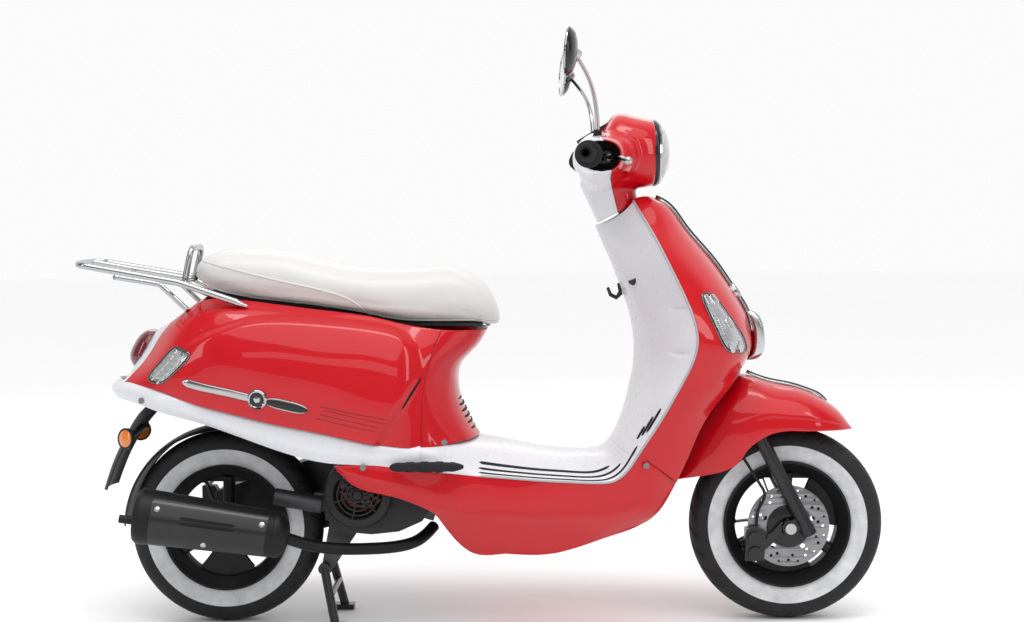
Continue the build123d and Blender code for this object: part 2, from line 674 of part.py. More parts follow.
def make_frame():
    head = rod(steer(head_low), steer(head_high), head_tube_radius, head_tube_radius - head_tube_wall)
    down = bent_bar([steer((head_low + head_high) / 2, -22), place(374, 0, 500), place(352, 0, 350),
                     place(296, 0, 256), place(236, 0, 256)], 21, 60)
    down -= rod(steer(head_low - 40), steer(head_high + 40), head_tube_radius - head_tube_wall)
    cross_front = rod(place(245, -82, 256), place(245, 82, 256), 16)
    parts = [head, down, cross_front]
    for side in (-1, 1):
        pin_x, pin_y, _ = peg_pin
        parts.append(Box(30, 130, 3.4).moved(Location((pin_x - 8, side * (pin_y - 59), peg_low - 10))))
        parts.append(rod((pin_x, side * pin_y, peg_low - 11), (pin_x, side * pin_y, peg_low + 18), 4))
        parts.append(rod((pin_x, side * pin_y, peg_low - 11), (pin_x, side * pin_y, peg_low - 0.3), 7))
        rail = bent_bar([place(245, side * 80, 256), place(-40, side * 80, 256),
                         place(-92, side * 98, 345), place(-128, side * 122, 560),
                         place(-220, side * 124, 634), place(-560, side * 108, 652),
                         place(-656, side * 60, 644)], rail_radius, 34)
        parts.append(rail)
        parts.append(rod((swing_x, side * 92, swing_z), (swing_x, side * (swing_tube_half + 2), swing_z), 17))
        parts.append(slab([(swing_x - 12, swing_z - 10), (station(-84), swing_z - 8),
                           (station(-90), swing_z + 26), (swing_x - 4, swing_z + 12)],
                          *sorted((side * 84, side * 98))))
    parts.append(rod(place(-652, -66, 644.3), place(-652, 66, 644.3), rail_radius))
    parts.append(rod(place(-150, -123, 588), place(-150, 123, 588), 10))
    shock_lug = slab([(shock_top.X - 14, shock_top.Z - 12), (shock_top.X + 14, shock_top.Z - 12),
                      (shock_top.X + 14, 655), (shock_top.X - 14, 655)], shock_y - 24, shock_y - 19)
    parts.append(shock_lug)
    parts.append(slab([(station(-150), 655), (station(26), 655), (station(26), 661), (station(-150), 661)],
                      -30, 30))
    parts.append(slab([(station(-140), 600), (station(-128), 590), (station(-64), 655),
                       (station(-140), 655)], -30, 30))
    frame = biggest(fuse(parts))
    frame -= rod((swing_x, -110, swing_z), (swing_x, 110, swing_z), swing_bolt_radius)
    frame -= rod(shock_top + Vector(0, -30, 0), shock_top + Vector(0, 20, 0), 5)
    return frame


def make_luggage_box():
    top, bottom = 650, 452
    x_low, x_high = station(-446), station(-168)
    outer = Box(x_high - x_low, 196, top - bottom, align=(Align.MIN, Align.CENTER, Align.MIN))
    outer = fillet(outer.edges().filter_by(Axis.Z), 24).moved(Location((x_low, 0, bottom)))
    inner = Box(x_high - x_low - 5, 191, top - bottom, align=(Align.MIN, Align.CENTER, Align.MIN))
    inner = fillet(inner.edges().filter_by(Axis.Z), 21).moved(Location((x_low + 2.5, 0, bottom + 2.5)))
    return outer - inner


def make_fuel_tank():
    tank = Box(204, 150, 112, align=(Align.MIN, Align.CENTER, Align.MIN))
    tank = fillet(tank.edges(), 18).moved(Location((station(-658), 0, 512)))
    cap = rod((station(-600), 0, 622), (station(-600), 0, 652), 26)
    return tank + cap


seat_hinge = Vector(station(14), 0, 665.6)
seat_sections = ((38, 706, 52, 34), (8, 728, 92, 58), (-60, 733, 112, 62), (-190, 731, 128, 60),
                 (-330, 756, 134, 58), (-450, 775, 132, 58), (-560, 778, 122, 52), (-612, 778, 96, 38))


def make_seat_cushion():
    """The cushion between its ridge line and its lower edge, which rises to the rear."""
    rings = []
    for x, z, half_width, half_height in seat_sections:
        plane = Plane(origin=(station(x), 0, z), x_dir=(0, 1, 0), z_dir=(1, 0, 0))
        rings.append(plane * RectangleRounded(2 * half_width, 2 * half_height, half_height * 0.7))
    cushion = loft(rings, ruled=True)
    floor_line = seat_floor_line(0)
    keep = slab(floor_line + [(station(-640), 860), (station(60), 860)], -150, 150)
    return biggest(cushion & keep)


def seat_floor_line(drop):
    """Where cushion and pan meet, lowered by drop."""
    line = ((60, 671), (-161, 674), (-366, 712), (-530, 735), (-600, 752), (-640, 760))
    return [(station(x), z - drop) for x, z in line]


def make_seat_pan():
    length = station(4) - station(-585)
    zone = Box(length, 176, 200, align=(Align.MIN, Align.CENTER, Align.CENTER))
    pan = slab(seat_floor_line(0) + seat_floor_line(7)[::-1], -90, 90)
    pan = biggest(pan & zone.moved(Location((station(-585), 0, 700))))
    knuckle = rod(seat_hinge + Vector(0, -22, 0), seat_hinge + Vector(0, 22, 0), 4.4)
    pan += slab([(seat_hinge.X - 5, 665), (seat_hinge.X + 5, 665), (seat_hinge.X + 5, 670.4),
                 (seat_hinge.X - 16, 670.4)], -22, 22)
    pan += knuckle
    return biggest(pan) - rod(seat_hinge + Vector(0, -30, 0), seat_hinge + Vector(0, 30, 0), 2.5 + running_fit)


def make_pivot_bolts():
    """Swing arm bolt, shock bolt and the seat's hinge pin with its two ears."""
    swing = rod((swing_x, -104, swing_z), (swing_x, 104, swing_z), swing_bolt_radius)
    for y in (-106, 98.2):
        swing += rod((swing_x, y, swing_z), (swing_x, y + 7.8, swing_z), 10)
    shock = rod(shock_top + Vector(0, -28, 0), shock_top + Vector(0, 15, 0), 5)
    pin = rod(seat_hinge + Vector(0, -34, 0), seat_hinge + Vector(0, 34, 0), 2.5)
    for y in (-32, 26):
        pin += disc(seat_hinge, 4.8, y, y + 6)
        pin += slab([(seat_hinge.X - 4.8, 661.2), (seat_hinge.X + 4.8, 661.2),
                     (seat_hinge.X + 4.8, seat_hinge.Z), (seat_hinge.X - 4.8, seat_hinge.Z)], y, y + 6)
    return [swing, shock, pin]


def rack_bar(points, radius=7.5, bend=26):
    return bent_bar([place(*p) for p in points], radius, bend)


def make_rear_rack():
    """Chrome carrier: outer loop, inner loop, side stays, struts and the grab hoop."""
    outer = rack_bar([(-522, -139, 724), (-652, -126, 767), (-870, -110, 806), (-884, -60, 808),
                      (-884, 60, 808), (-870, 110, 806), (-652, 126, 767), (-522, 139, 724)])
    parts = [outer]
    for side in (-1, 1):
        parts.append(rack_bar([(-878, side * 52, 807), (-800, side * 60, 792), (-655, side * 60, 766),
                               (-600, side * 60, 738)], 6))
        parts.append(rack_bar([(-795, side * 92, 778), (-700, side * 92, 762), (-640, side * 92, 706)], 6))
        parts.append(cone(place(-524, side * 138.8, 723.4), place(-500, side * 141, 715), 7.5, 3))
    parts.append(rod(place(-795, -93, 778), place(-795, 93, 778), 6))
    parts.append(rod(place(-655, -124, 766), place(-655, 124, 766), 6))
    hoop = rack_bar([(-652, -55, 766), (-636, -55, 840), (-634, 55, 840), (-652, 55, 766)], 7, 22)
    parts.append(hoop)
    for x, y in ((-795, 60), (-795, -60)):
        parts.append(rod(place(x, y, 778), place(x, y, 792), 5))
    return biggest(fuse(parts))


# ---- Small parts on the body

lens_wall = 12.0
lens_gap = 1.2
front_lens = [((488, 156, 728), (492, 142, 733), (492, 126, 738)),
              ((500, 165, 690), (516, 150, 696), (532, 130, 702)),
              ((518, 171, 642), (542, 154, 652), (564, 130, 660)),
              ((532, 171, 598), (562, 152, 608), (586, 130, 618))]
rear_lens = [((-610, 168, 612), (-638, 150, 630), (-660, 126, 644)),
             ((-640, 166, 588), (-668, 149, 602), (-690, 124, 614)),
             ((-690, 152, 554), (-712, 141, 566), (-734, 122, 576))]


def lens_body(rows, grow=0.0, proud=0.0, depth=lens_wall):
    """A turn signal on the right side, or, grown and deepened, the pocket that it sits in."""
    points = [Vector(*p) for row in rows for p in row]
    middle = sum(points, Vector(0, 0, 0)) * (1 / len(points))
    outward = Vector(0.35 if middle.X > 0 else -0.3, 0.9, 0).normalized()
    grown = []
    for row in rows:
        moved = [Vector(*p) + (Vector(*p) - middle).normalized() * grow + outward * proud for p in row]
        grown.append([(p.X, -p.Y, p.Z) for p in reversed(moved)])
    return panel(grown, steps=2, wall=depth)


def make_indicators():
    """Turn signals on the leg shield's shoulders and on the tail's corners."""
    return both(lens_body(front_lens)) + both(lens_body(rear_lens))


def lens_pocket(rows):
    return lens_body(rows, grow=2 * lens_gap + 1.5, proud=25, depth=lens_wall + 50)


def make_nose_trim():
    """Centre strip down the leg shield with the oval nose piece at its foot."""
    strip = panel([((386, 6, 945), (388, 0, 946), (386, -6, 945)),
                   ((456, 9, 876), (459, 0, 877), (456, -9, 876)),
                   ((516, 10, 808), (519, 0, 809), (516, -10, 808)),
                   ((570, 12, 726), (573, 0, 727), (570, -12, 726)),
                   ((589, 14, 690), (592, 0, 691), (589, -14, 690))], wall=3)
    nose = panel([((592, 14, 688), (598, 0, 688), (592, -14, 688)),
                  ((600, 32, 664), (618, 0, 668), (600, -32, 664)),
                  ((605, 38, 636), (632, 0, 636), (605, -38, 636)),
                  ((608, 30, 606), (626, 0, 606), (608, -30, 606)),
                  ((608, 12, 590), (616, 0, 588), (608, -12, 590))], wall=3)
    return [strip, nose]


def make_rear_mudguard():
    """Black inner guard over the rear tyre, carried down as the plate holder."""
    guard = panel([((-560, 66, 500), (-560, 0, 508), (-560, -66, 500)),
                   ((-650, 66, 500), (-650, 0, 508), (-650, -66, 500)),
                   ((-740, 62, 492), (-742, 0, 498), (-740, -62, 492)),
                   ((-790, 60, 462), (-796, 0, 464), (-790, -60, 462))])
    holder = slab([(-782, 490), (-770, 468), (-788, 440), (-838, 306), (-846, 300), (-852, 304),
                   (-798, 446), (-796, 470)], -62, 62)
    lugs = Box(22, 196, 26).moved(Location((-782, 0, 428)))
    return biggest(guard + holder + lugs)


def make_reflectors():
    return [rod((-785, side * 98.3, 425), (-785, side * 106, 425), 25) for side in (-1, 1)]


def make_bag_hook():
    foot = station(314)
    return slab([(foot - 6.5, 752), (foot, 728), (foot - 14, 716), (foot - 30, 724), (foot - 36, 742),
                 (foot - 30, 744), (foot - 24, 730), (foot - 14, 725), (foot - 9, 734), (foot - 12, 752)],
                -7, 7)


lock_radius = 13.0


def lock_rod(low, high, radius):
    centre = Vector(station(338), -62, 762)
    way = Vector(-0.8, -0.45, 0.4).normalized()
    return rod(centre + way * low, centre + way * high, radius)


def make_ignition_lock():
    return lock_rod(-30, 8, lock_radius)


def make_body_screws():
    """Cross-head screws that hold the skirts, the floor, the shield and the band."""
    screws = []
    for x, y, z in ((353, 187, 372), (-77, 172, 423), (-735, 129, 512), (-250, 191, 372)):
        for side in (-1, 1):
            outer = at(x, side * (y + 6), z)
            screws.append(rod(outer, outer + Vector(0, -side * 3, 0), 6.5))
    return screws


def make_steering_bearings():
    """Ball race rings between head tube and stem."""
    rings = []
    for along in (head_low + 10, head_high - 10):
        rings.append(rod(steer(along - 7), steer(along + 7), head_tube_radius - head_tube_wall,
                         stem_radius + running_fit))
    return rings


def make_footpeg():
    """Right passenger peg, folded flat under the floor's rear edge; it turns out on its front pin."""
    pin_x, pin_y, z = peg_pin
    peg = slab([(pin_x + 12, z), (pin_x + 12, z + 14), (pin_x - 42, z + 22), (pin_x - 138, z + 21),
                (pin_x - 142, z + 14), (pin_x - 72, z + 7)], -pin_y - 12, -pin_y + 12)
    return peg - rod((pin_x, -pin_y, z - 10), (pin_x, -pin_y, z + 40), 4 + running_fit)


# ---- Rear suspension, engine and stand

def make_shock():
    """Upper body, sliding lower body and the coil between them, along the shock's own line."""
    way = (shock_foot - shock_top).normalized()
    length = (shock_foot - shock_top).length
    upper = disc(shock_top, 13, shock_y - 14, shock_y + 14) + rod(shock_top + way * 8,
                                                                  shock_top + way * 60, 17)
    upper += rod(shock_top + way * 50, shock_top + way * 58, 27)
    upper += rod(shock_top + way * 30, shock_top + way * (length - 100), 6)
    upper -= rod(shock_top + Vector(0, -30, 0), shock_top + Vector(0, 30, 0), 5 + running_fit)
    lower = disc(shock_foot, 13, shock_y - 12, shock_y + 12)
    lower += rod(shock_foot - way * 8, shock_foot - way * 150, 15)
    lower += rod(shock_foot - way * 40, shock_foot - way * 48, 27)
    lower -= rod(shock_foot - way * 30, shock_foot - way * 151, 6 + running_fit)
    lower -= rod(shock_foot + Vector(0, -30, 0), shock_foot + Vector(0, 30, 0), 6.5)
    coil = rod(shock_top + way * 58.3, shock_foot - way * 48.3, 26, 19)
    return upper, lower, coil


def stadium(first, last, radius_first, radius_last, y_low, y_high):
    """A flat case hugging two round ends."""
    way = (last - first).normalized()
    across = Vector(-way.Z, 0, way.X)
    corners = [first + across * radius_first, last + across * radius_last,
               last - across * radius_last, first - across * radius_first]
    body = slab([(c.X, c.Z) for c in corners], y_low, y_high)
    body += disc(first, radius_first, y_low, y_high)
    return body + disc(last, radius_last, y_low, y_high)


def make_engine_case():
    """Crankcase with the belt case on its left, the finned cylinder ahead and the swing tube."""
    crank = Vector(crank_x, 0, crank_z)
    case = stadium(crank, rear_axle, 84, 74, 68, 140)
    case += disc(crank, 74, -60, 69)
    case += slab([(crank_x - 60, crank_z - 62), (crank_x - 66, crank_z + 30), (crank_x + 40, crank_z + 62),
                  (crank_x + 66, crank_z + 10), (crank_x + 50, crank_z - 66)], -60, 69)
    axis_low = crank + Vector(60, 0, -10)
    head = Vector(crank_x + 168, 0, crank_z - 42)
    way = (head - axis_low).normalized()
    for k in range(6):
        plane = Plane(origin=axis_low + way * (22 + 12 * k), x_dir=(0, 1, 0), z_dir=way)
        case += plane * Box(96, 78, 3.5)
    case += rod(axis_low - way * 10, axis_low + way * 100, 30)
    plane = Plane(origin=head - way * 18, x_dir=(0, 1, 0), z_dir=way)
    case += plane * Box(88, 74, 34)
    arm = [(crank_x + 20, crank_z + 50), (swing_x - 6, swing_z + 12), (swing_x + 4, swing_z - 10),
           (crank_x + 50, crank_z + 20)]
    for y in (-58, 42):
        case += slab(arm, y, y + 16)
    case += rod((swing_x, -swing_tube_half, swing_z), (swing_x, swing_tube_half, swing_z), swing_tube_radius)
    case += rod((crank_x - 190, -80, crank_z - 14), (crank_x - 86, -80, crank_z - 34), 19)
    case += slab([(crank_x - 104, crank_z - 8), (crank_x - 81, crank_z - 8), (crank_x - 81, crank_z - 48),
                  (crank_x - 104, crank_z - 48)], -76, -48)
    case += slab([(crank_x - 100, crank_z - 8), (crank_x - 50, crank_z - 8), (crank_x - 50, crank_z - 48),
                  (crank_x - 100, crank_z - 48)], -60, -48)
    case += disc(rear_axle, 30, 52, 69)
    case += disc(rear_axle, axle_radius, -70, 69)
    case += slab([(stand_x - 10, stand_z - 12), (stand_x + 12, stand_z - 12), (crank_x + 10, crank_z - 66),
                  (crank_x - 58, crank_z - 58), (crank_x - 66, crank_z - 40)], -56, 56)
    lug = slab([(shock_foot.X - 15, shock_foot.Z - 15), (shock_foot.X + 15, shock_foot.Z - 15),
                (shock_foot.X + 40, shock_foot.Z - 60), (shock_foot.X - 15, shock_foot.Z - 70)],
               shock_y - 14, shock_y + 14)
    case += lug - disc(shock_foot, 15.5, shock_y - 13, shock_y + 13)
    case += disc(shock_foot, 5, shock_y - 14, shock_y + 14)
    case = biggest(case)
    case -= rod((swing_x, -110, swing_z), (swing_x, 110, swing_z), swing_bolt_radius + running_fit)
    case -= rod((stand_x, -80, stand_z), (stand_x, 80, stand_z), stand_pin_radius + running_fit)
    case -= disc(Vector(crank_x, 0, crank_z), 9 + running_fit, -62, -20)
    case -= disc(kick_centre(), 7 + running_fit, 130, 141)
    return biggest(case)


def make_fan():
    crank = Vector(crank_x, 0, crank_z)
    wheel = disc(crank, fan_radius - 8, -86, -82) + disc(crank, 14, -92, -82) + disc(crank, 9, -83, -30)
    for k in range(14):
        tip, root = polar(crank, k * 360 / 14, fan_radius), polar(crank, k * 360 / 14 + 10, 26)
        vane = slab([(root.X, root.Z), (root.X + 0.8, root.Z + 1.8), (tip.X + 0.8, tip.Z + 1.8),
                     (tip.X, tip.Z)], -104, -84)
        wheel += vane
    return biggest(wheel)


def make_fan_cover():
    """Black round cover with a ringed grille, its duct and the cylinder shroud ahead of it."""
    crank = Vector(crank_x, 0, crank_z)
    drum = disc(crank, fan_cover_radius, fan_cover_y, -61, fan_cover_radius - 4)
    face = disc(crank, fan_cover_radius, fan_cover_y, fan_cover_y + 4, 54)
    grille = disc(crank, 16, fan_cover_y, fan_cover_y + 4)
    for radius in (25, 34, 43, 52):
        grille += disc(crank, radius, fan_cover_y, fan_cover_y + 3, radius - 3.5)
    for k in range(12):
        tip = polar(crank, 30 * k, 56)
        grille += rod((crank_x, fan_cover_y + 2, crank_z), (tip.X, fan_cover_y + 2, tip.Z), 1.6)
    shroud = slab([(crank_x + 60, crank_z + 34), (-120, 316), (-100, 250), (-122, 216), (crank_x + 56, crank_z - 54)],
                  -112, -61)
    shroud -= slab([(crank_x + 50, crank_z + 28), (-126, 310), (-106, 250), (-126, 222), (crank_x + 50, crank_z - 48)],
                   -108, -60)
    shroud -= disc(crank, fan_cover_radius - 2, -113, -60)
    return biggest(drum + face + grille + shroud)


muffler_front = Vector(-432, -172, 224)
muffler_rear = Vector(-738, -178, 270)


def make_exhaust():
    pipe = bent_bar([Vector(-110, -20, 212), Vector(-150, -86, 188), Vector(-250, -112, 180),
                     Vector(-372, -128, 192), Vector(-440, -158, 222)], 13, 40)
    way = (muffler_rear - muffler_front).normalized()
    can = cone(muffler_front, muffler_rear, 50, 62)
    can -= cone(muffler_front + way * muffler_wall, muffler_rear - way * muffler_wall,
                50 - muffler_wall, 62 - muffler_wall)
    cap = cone(muffler_front - way * 16, muffler_front, 30, 50)
    tail = rod(muffler_rear + way * -4, muffler_rear + way * 36, 9)
    return biggest(fuse([pipe, can, cap, tail]))


def make_kick_lever():
    centre = kick_centre()
    shaft = rod(centre + Vector(0, -8, 0), centre + Vector(0, 20, 0), 7)
    arm = slab([(centre.X - 8, centre.Z - 9), (centre.X + 9, centre.Z - 6), (centre.X - 120, centre.Z + 66),
                (centre.X - 130, centre.Z + 54)], centre.Y + 4, centre.Y + 14)
    pedal = rod((centre.X - 124, centre.Y + 4, centre.Z + 60), (centre.X - 124, centre.Y + 52, centre.Z + 60), 9)
    return fuse([shaft, arm, pedal])


def kick_centre():
    return Vector(crank_x - 70, 140, crank_z - 22)


def make_centre_stand():
    """Two spread legs on a cross tube, feet flat on the ground."""
    pin = rod((stand_x, -66, stand_z), (stand_x, 66, stand_z), stand_pin_radius)
    parts = [pin]
    foot_x = stand_x + 26
    for side in (-1, 1):
        top = Vector(stand_x, side * 66, stand_z)
        foot = Vector(foot_x, side * stand_half_width, stand_leg_radius)
        parts.append(rod((stand_x, side * 58, stand_z), (stand_x, side * 74, stand_z), 13))
        parts.append(rod(top, foot, stand_leg_radius))
        parts.append(Box(44, 30, 12).moved(Location((foot_x, side * stand_half_width, 6))))
    parts.append(rod((stand_x + 16, -76, 72), (stand_x + 16, 76, 72), 7))
    return biggest(fuse(parts))


# ---- Write every node

def write(name, shape):
    solids = shape if isinstance(shape, list) else [shape]
    solids = [s for body in solids for s in body.solids()]
    whole = solids[0] if len(solids) == 1 else Compound(children=solids)
    whole.label = name
    export_step(whole, os.path.join("parts", name + ".step"))


def main():
    os.makedirs("parts", exist_ok=True)
    cover_front, cover_rear = make_nacelle_shells()
    shock_upper, shock_lower, shock_spring = make_shock()
    grip = make_grip(running_fit)
    lever, mirror, peg = make_brake_lever(), make_mirror(), make_footpeg()
    cowl, trim = side_cowl(), side_trim()
    nodes = {
        "frame": make_frame(),
        "leg_shield_front": leg_shield_front(),
        "leg_shield_inner": leg_shield_inner(),
        "floorboard": floorboard(),
        "floor_mats": floor_mats() + [mirrored(s) for s in floor_mats()],
        "lower_skirts": lower_skirts(),
        "seat_front_cover": seat_front_cover(),
        "cowl_right": cowl,
        "cowl_left": mirrored(cowl),
        "side_trims": both(trim),
        "tail_cover": tail_cover(),
        "tail_lamp": tail_lamp(),
        "side_lamps": make_indicators() + make_reflectors(),
        "nose_trim": make_nose_trim(),
        "rear_mudguard": make_rear_mudguard(),
        "luggage_box": make_luggage_box(),
        "fuel_tank": make_fuel_tank(),
        "rear_rack": make_rear_rack(),
        "bag_hook": make_bag_hook(),
        "ignition_lock": make_ignition_lock(),
        "fasteners": make_body_screws() + make_pivot_bolts(),
        "steering_bearings": make_steering_bearings(),
        "footpeg_right": peg,
        "footpeg_left": mirrored(peg),
        "shock_upper": shock_upper,
        "shock_lower": shock_lower,
        "shock_spring": shock_spring,
        "seat_pan": make_seat_pan(),
        "seat_cushion": make_seat_cushion(),
        "steering_stem": make_steering_stem(),
        "handlebar": [make_handlebar(), make_lever_bracket(-1), make_lever_bracket(1)],
        "headlight_cover": cover_front,
        "handlebar_cover": cover_rear,
        "headlight_bezel": make_lamp_bezel(),
        "headlight_lens": make_lamp_lens(),
        "instrument_cluster": make_instruments(),
        "front_fender": front_fender(),
        "throttle_grip": grip,
        "left_grip": mirrored(make_grip(-grip_squeeze)),
        "brake_lever_right": lever,
        "brake_lever_left": mirrored(lever),
        "start_button": make_button("start"),
        "horn_button": make_button("horn"),
        "mirror_right": mirror,
        "mirror_left": mirrored(mirror),
        "fork_legs": make_fork_legs(),
        "front_axle": make_front_axle(),
        "brake_caliper": make_caliper(),
        "brake_hose": make_brake_hose(),
        "front_rim": make_rim(front_axle, -front_hub_half, front_hub_half, axle_radius + running_fit),
        "front_tyre": make_tyre(front_axle),
        "brake_disc": make_brake_disc(),
        "rear_rim": make_rim(rear_axle, -46, 48, axle_radius + running_fit),
        "rear_tyre": make_tyre(rear_axle),
        "engine_case": make_engine_case(),
        "cooling_fan": make_fan(),
        "fan_cover": make_fan_cover(),
        "exhaust": make_exhaust(),
        "kick_lever": make_kick_lever(),
        "centre_stand": make_centre_stand(),
    }
    for name, shape in nodes.items():
        write(name, shape)
    print(len(nodes), "nodes")


main()
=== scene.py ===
import math

import bmesh
import bpy
import numpy as np
from mathutils import Matrix, Vector
from mathutils.bvhtree import BVHTree


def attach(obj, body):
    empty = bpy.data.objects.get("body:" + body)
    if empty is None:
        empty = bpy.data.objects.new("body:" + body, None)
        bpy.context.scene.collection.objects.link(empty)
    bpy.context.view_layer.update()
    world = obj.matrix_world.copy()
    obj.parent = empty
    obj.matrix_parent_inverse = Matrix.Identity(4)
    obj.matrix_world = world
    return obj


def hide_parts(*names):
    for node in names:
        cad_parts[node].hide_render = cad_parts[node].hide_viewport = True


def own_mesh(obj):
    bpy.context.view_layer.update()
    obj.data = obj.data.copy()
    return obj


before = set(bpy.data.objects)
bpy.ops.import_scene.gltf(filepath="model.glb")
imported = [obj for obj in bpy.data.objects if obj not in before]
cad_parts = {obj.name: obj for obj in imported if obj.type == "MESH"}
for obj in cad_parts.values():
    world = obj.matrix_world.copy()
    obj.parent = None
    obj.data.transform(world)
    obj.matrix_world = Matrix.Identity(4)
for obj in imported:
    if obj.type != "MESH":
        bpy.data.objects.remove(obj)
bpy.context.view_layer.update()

# Every place and size below is in millimetres in the scooter's own frame: +X ahead, +Y the rider's
# left, +Z up, ground at 0. Meshes are written in metres. Tables give the right half, with y as a half width.
mm = 0.001
steeringAxle = np.array([675.0, 0.0, 215.0])
rearAxle = np.array([-575.0, 0.0, 215.0])
rake = math.radians(27.0)
upSteer = np.array([-math.sin(rake), 0.0, math.cos(rake)])
aheadSteer = np.array([math.cos(rake), 0.0, math.sin(rake)])
sideways = np.array([0.0, 1.0, 0.0])


# Surfaces

def cubicThrough(knots, values, places):
    # A natural cubic: its second derivatives solve one tridiagonal system, and vanish at both ends.
    gaps = np.diff(knots)
    count = len(knots)
    system = np.eye(count)
    right = np.zeros_like(values)
    wide = gaps.reshape((-1,) + (1,) * (values.ndim - 1))
    slopes = np.diff(values, axis=0) / wide
    for i in range(1, count - 1):
        system[i, i - 1:i + 2] = gaps[i - 1], 2 * (gaps[i - 1] + gaps[i]), gaps[i]
        right[i] = 6 * (slopes[i] - slopes[i - 1])
    bend = np.linalg.solve(system, right.reshape(count, -1)).reshape(values.shape)
    piece = np.clip(np.searchsorted(knots, places, side="right") - 1, 0, count - 2)
    shape = (-1,) + (1,) * (values.ndim - 1)
    back = ((knots[piece + 1] - places) / gaps[piece]).reshape(shape)
    on = 1 - back
    squared = (gaps[piece] ** 2).reshape(shape)
    return (back * values[piece] + on * values[piece + 1]
            + ((back ** 3 - back) * bend[piece] + (on ** 3 - on) * bend[piece + 1]) * squared / 6)


def chordKnots(table):
    steps = np.linalg.norm(np.diff(table, axis=0), axis=-1).reshape(len(table) - 1, -1).mean(axis=1)
    return np.concatenate([[0.0], np.cumsum(np.maximum(steps, 1e-3))])


def lineThrough(points, count):
    points = np.asarray(points, float)
    knots = chordKnots(points)
    return cubicThrough(knots, points, np.linspace(0, knots[-1], count))


def surfaceThrough(table, along, across):
    # Cubics through each column of stations, then through each row of what those give.
    table = np.asarray(table, float)
    for count in (along, across):
        knots = chordKnots(table)
        table = cubicThrough(knots, table, np.linspace(0, knots[-1], count)).swapaxes(0, 1)
    return table


def rightSide(table):
    return np.asarray(table, float) * (1, -1, 1)


def wholeWidth(table):
    # The right half's columns run from edge to middle; the left half repeats them mirrored.
    half = rightSide(table)
    return np.concatenate([half, half[:, -2::-1] * (1, -1, 1)], axis=1)


def normalsOf(grid):
    normals = np.cross(np.gradient(grid, axis=0), np.gradient(grid, axis=1))
    return normals / np.maximum(np.linalg.norm(normals, axis=-1, keepdims=True), 1e-9)


def facedFrom(grid, inside):
    # Turns the grid over if its normals point towards the inside point.
    if np.sum(normalsOf(grid) * (grid - np.asarray(inside, float))) < 0:
        return grid[:, ::-1]
    return grid


def gridFaces(rows, columns, aroundRows=False, aroundColumns=False):
    i = np.arange(rows if aroundRows else rows - 1)[:, None]
    j = np.arange(columns if aroundColumns else columns - 1)[None, :]
    k, n = (i + 1) % rows, (j + 1) % columns
    return np.stack([i * columns + j, k * columns + j, k * columns + n, i * columns + n], -1).reshape(-1, 4)


def newObject(name, points, faces):
    mesh = bpy.data.meshes.new(name)
    mesh.from_pydata((np.asarray(points).reshape(-1, 3) * mm).tolist(), [], np.asarray(faces).tolist())
    mesh.update()
    piece = bpy.data.objects.new(name, mesh)
    bpy.context.scene.collection.objects.link(piece)
    return piece


def smoothed(piece, sharp=38):
    piece.data.polygons.foreach_set("use_smooth", np.ones(len(piece.data.polygons), bool))
    piece.data.set_sharp_from_angle(angle=math.radians(sharp))
    return piece


def settled(piece):
    # Writes what the modifiers make into the mesh itself.
    bpy.context.view_layer.update()
    made = bpy.data.meshes.new_from_object(piece.evaluated_get(bpy.context.evaluated_depsgraph_get()))
    piece.modifiers.clear()
    piece.data = made
    return piece


def sealed(piece, turn=True):
    # Merges doubled points, so poles and seams close, and turns every face outwards.
    work = bmesh.new()
    work.from_mesh(piece.data)
    bmesh.ops.remove_doubles(work, verts=work.verts, dist=1e-6)
    loose = [f for f in work.faces if f.calc_area() < 1e-12]
    bmesh.ops.delete(work, geom=loose, context="FACES")
    if turn:
        bmesh.ops.recalc_face_normals(work, faces=work.faces)
    work.to_mesh(piece.data)
    work.free()
    return piece


def withWall(piece, wall, bevel=0.7, sharp=38):
    solid = piece.modifiers.new("wall", "SOLIDIFY")
    solid.thickness, solid.offset, solid.use_even_offset = wall * mm, -1, False
    if bevel:
        edge = piece.modifiers.new("edge", "BEVEL")
        edge.width, edge.segments, edge.limit_method = bevel * mm, 2, "ANGLE"
        edge.angle_limit = math.radians(50)
    return smoothed(settled(piece), sharp)


def panelPiece(name, grid, inside, wall=3.0, bevel=0.7):
    grid = facedFrom(grid, inside)
    return withWall(newObject(name, grid, gridFaces(*grid.shape[:2])), wall, bevel)


def closedPiece(name, rings, sharp=38):
    # Rings along a body: each row is a closed ring, and both ends are closed with a fan to their middle.
    rows, columns = rings.shape[:2]
    points = np.concatenate([rings.reshape(-1, 3), rings[0].mean(0)[None], rings[-1].mean(0)[None]])
    j = np.arange(columns)
    n = (j + 1) % columns
    first, last = rows * columns, rows * columns + 1
    caps = [np.stack([j, n, np.full(columns, first)], -1),
            np.stack([(rows - 1) * columns + n, (rows - 1) * columns + j, np.full(columns, last)], -1)]
    faces = gridFaces(rows, columns, aroundColumns=True).tolist() + caps[0].tolist() + caps[1].tolist()
    mesh = bpy.data.meshes.new(name)
    mesh.from_pydata((points * mm).tolist(), [], faces)
    piece = bpy.data.objects.new(name, mesh)
    bpy.context.scene.collection.objects.link(piece)
    return smoothed(sealed(piece), sharp)


def crossFrames(path):
    # Two directions square to the path, carried along it without twisting.
    ahead = np.gradient(path, axis=0)
    ahead /= np.linalg.norm(ahead, axis=1, keepdims=True)
    start = np.cross(ahead[0], (0.3, 0.5, 0.81))
    across = [start / np.linalg.norm(start)]
    for way in ahead[1:]:
        turned = across[-1] - way * np.dot(across[-1], way)
        across.append(turned / np.linalg.norm(turned))
    across = np.array(across)
    return across, np.cross(ahead, across)


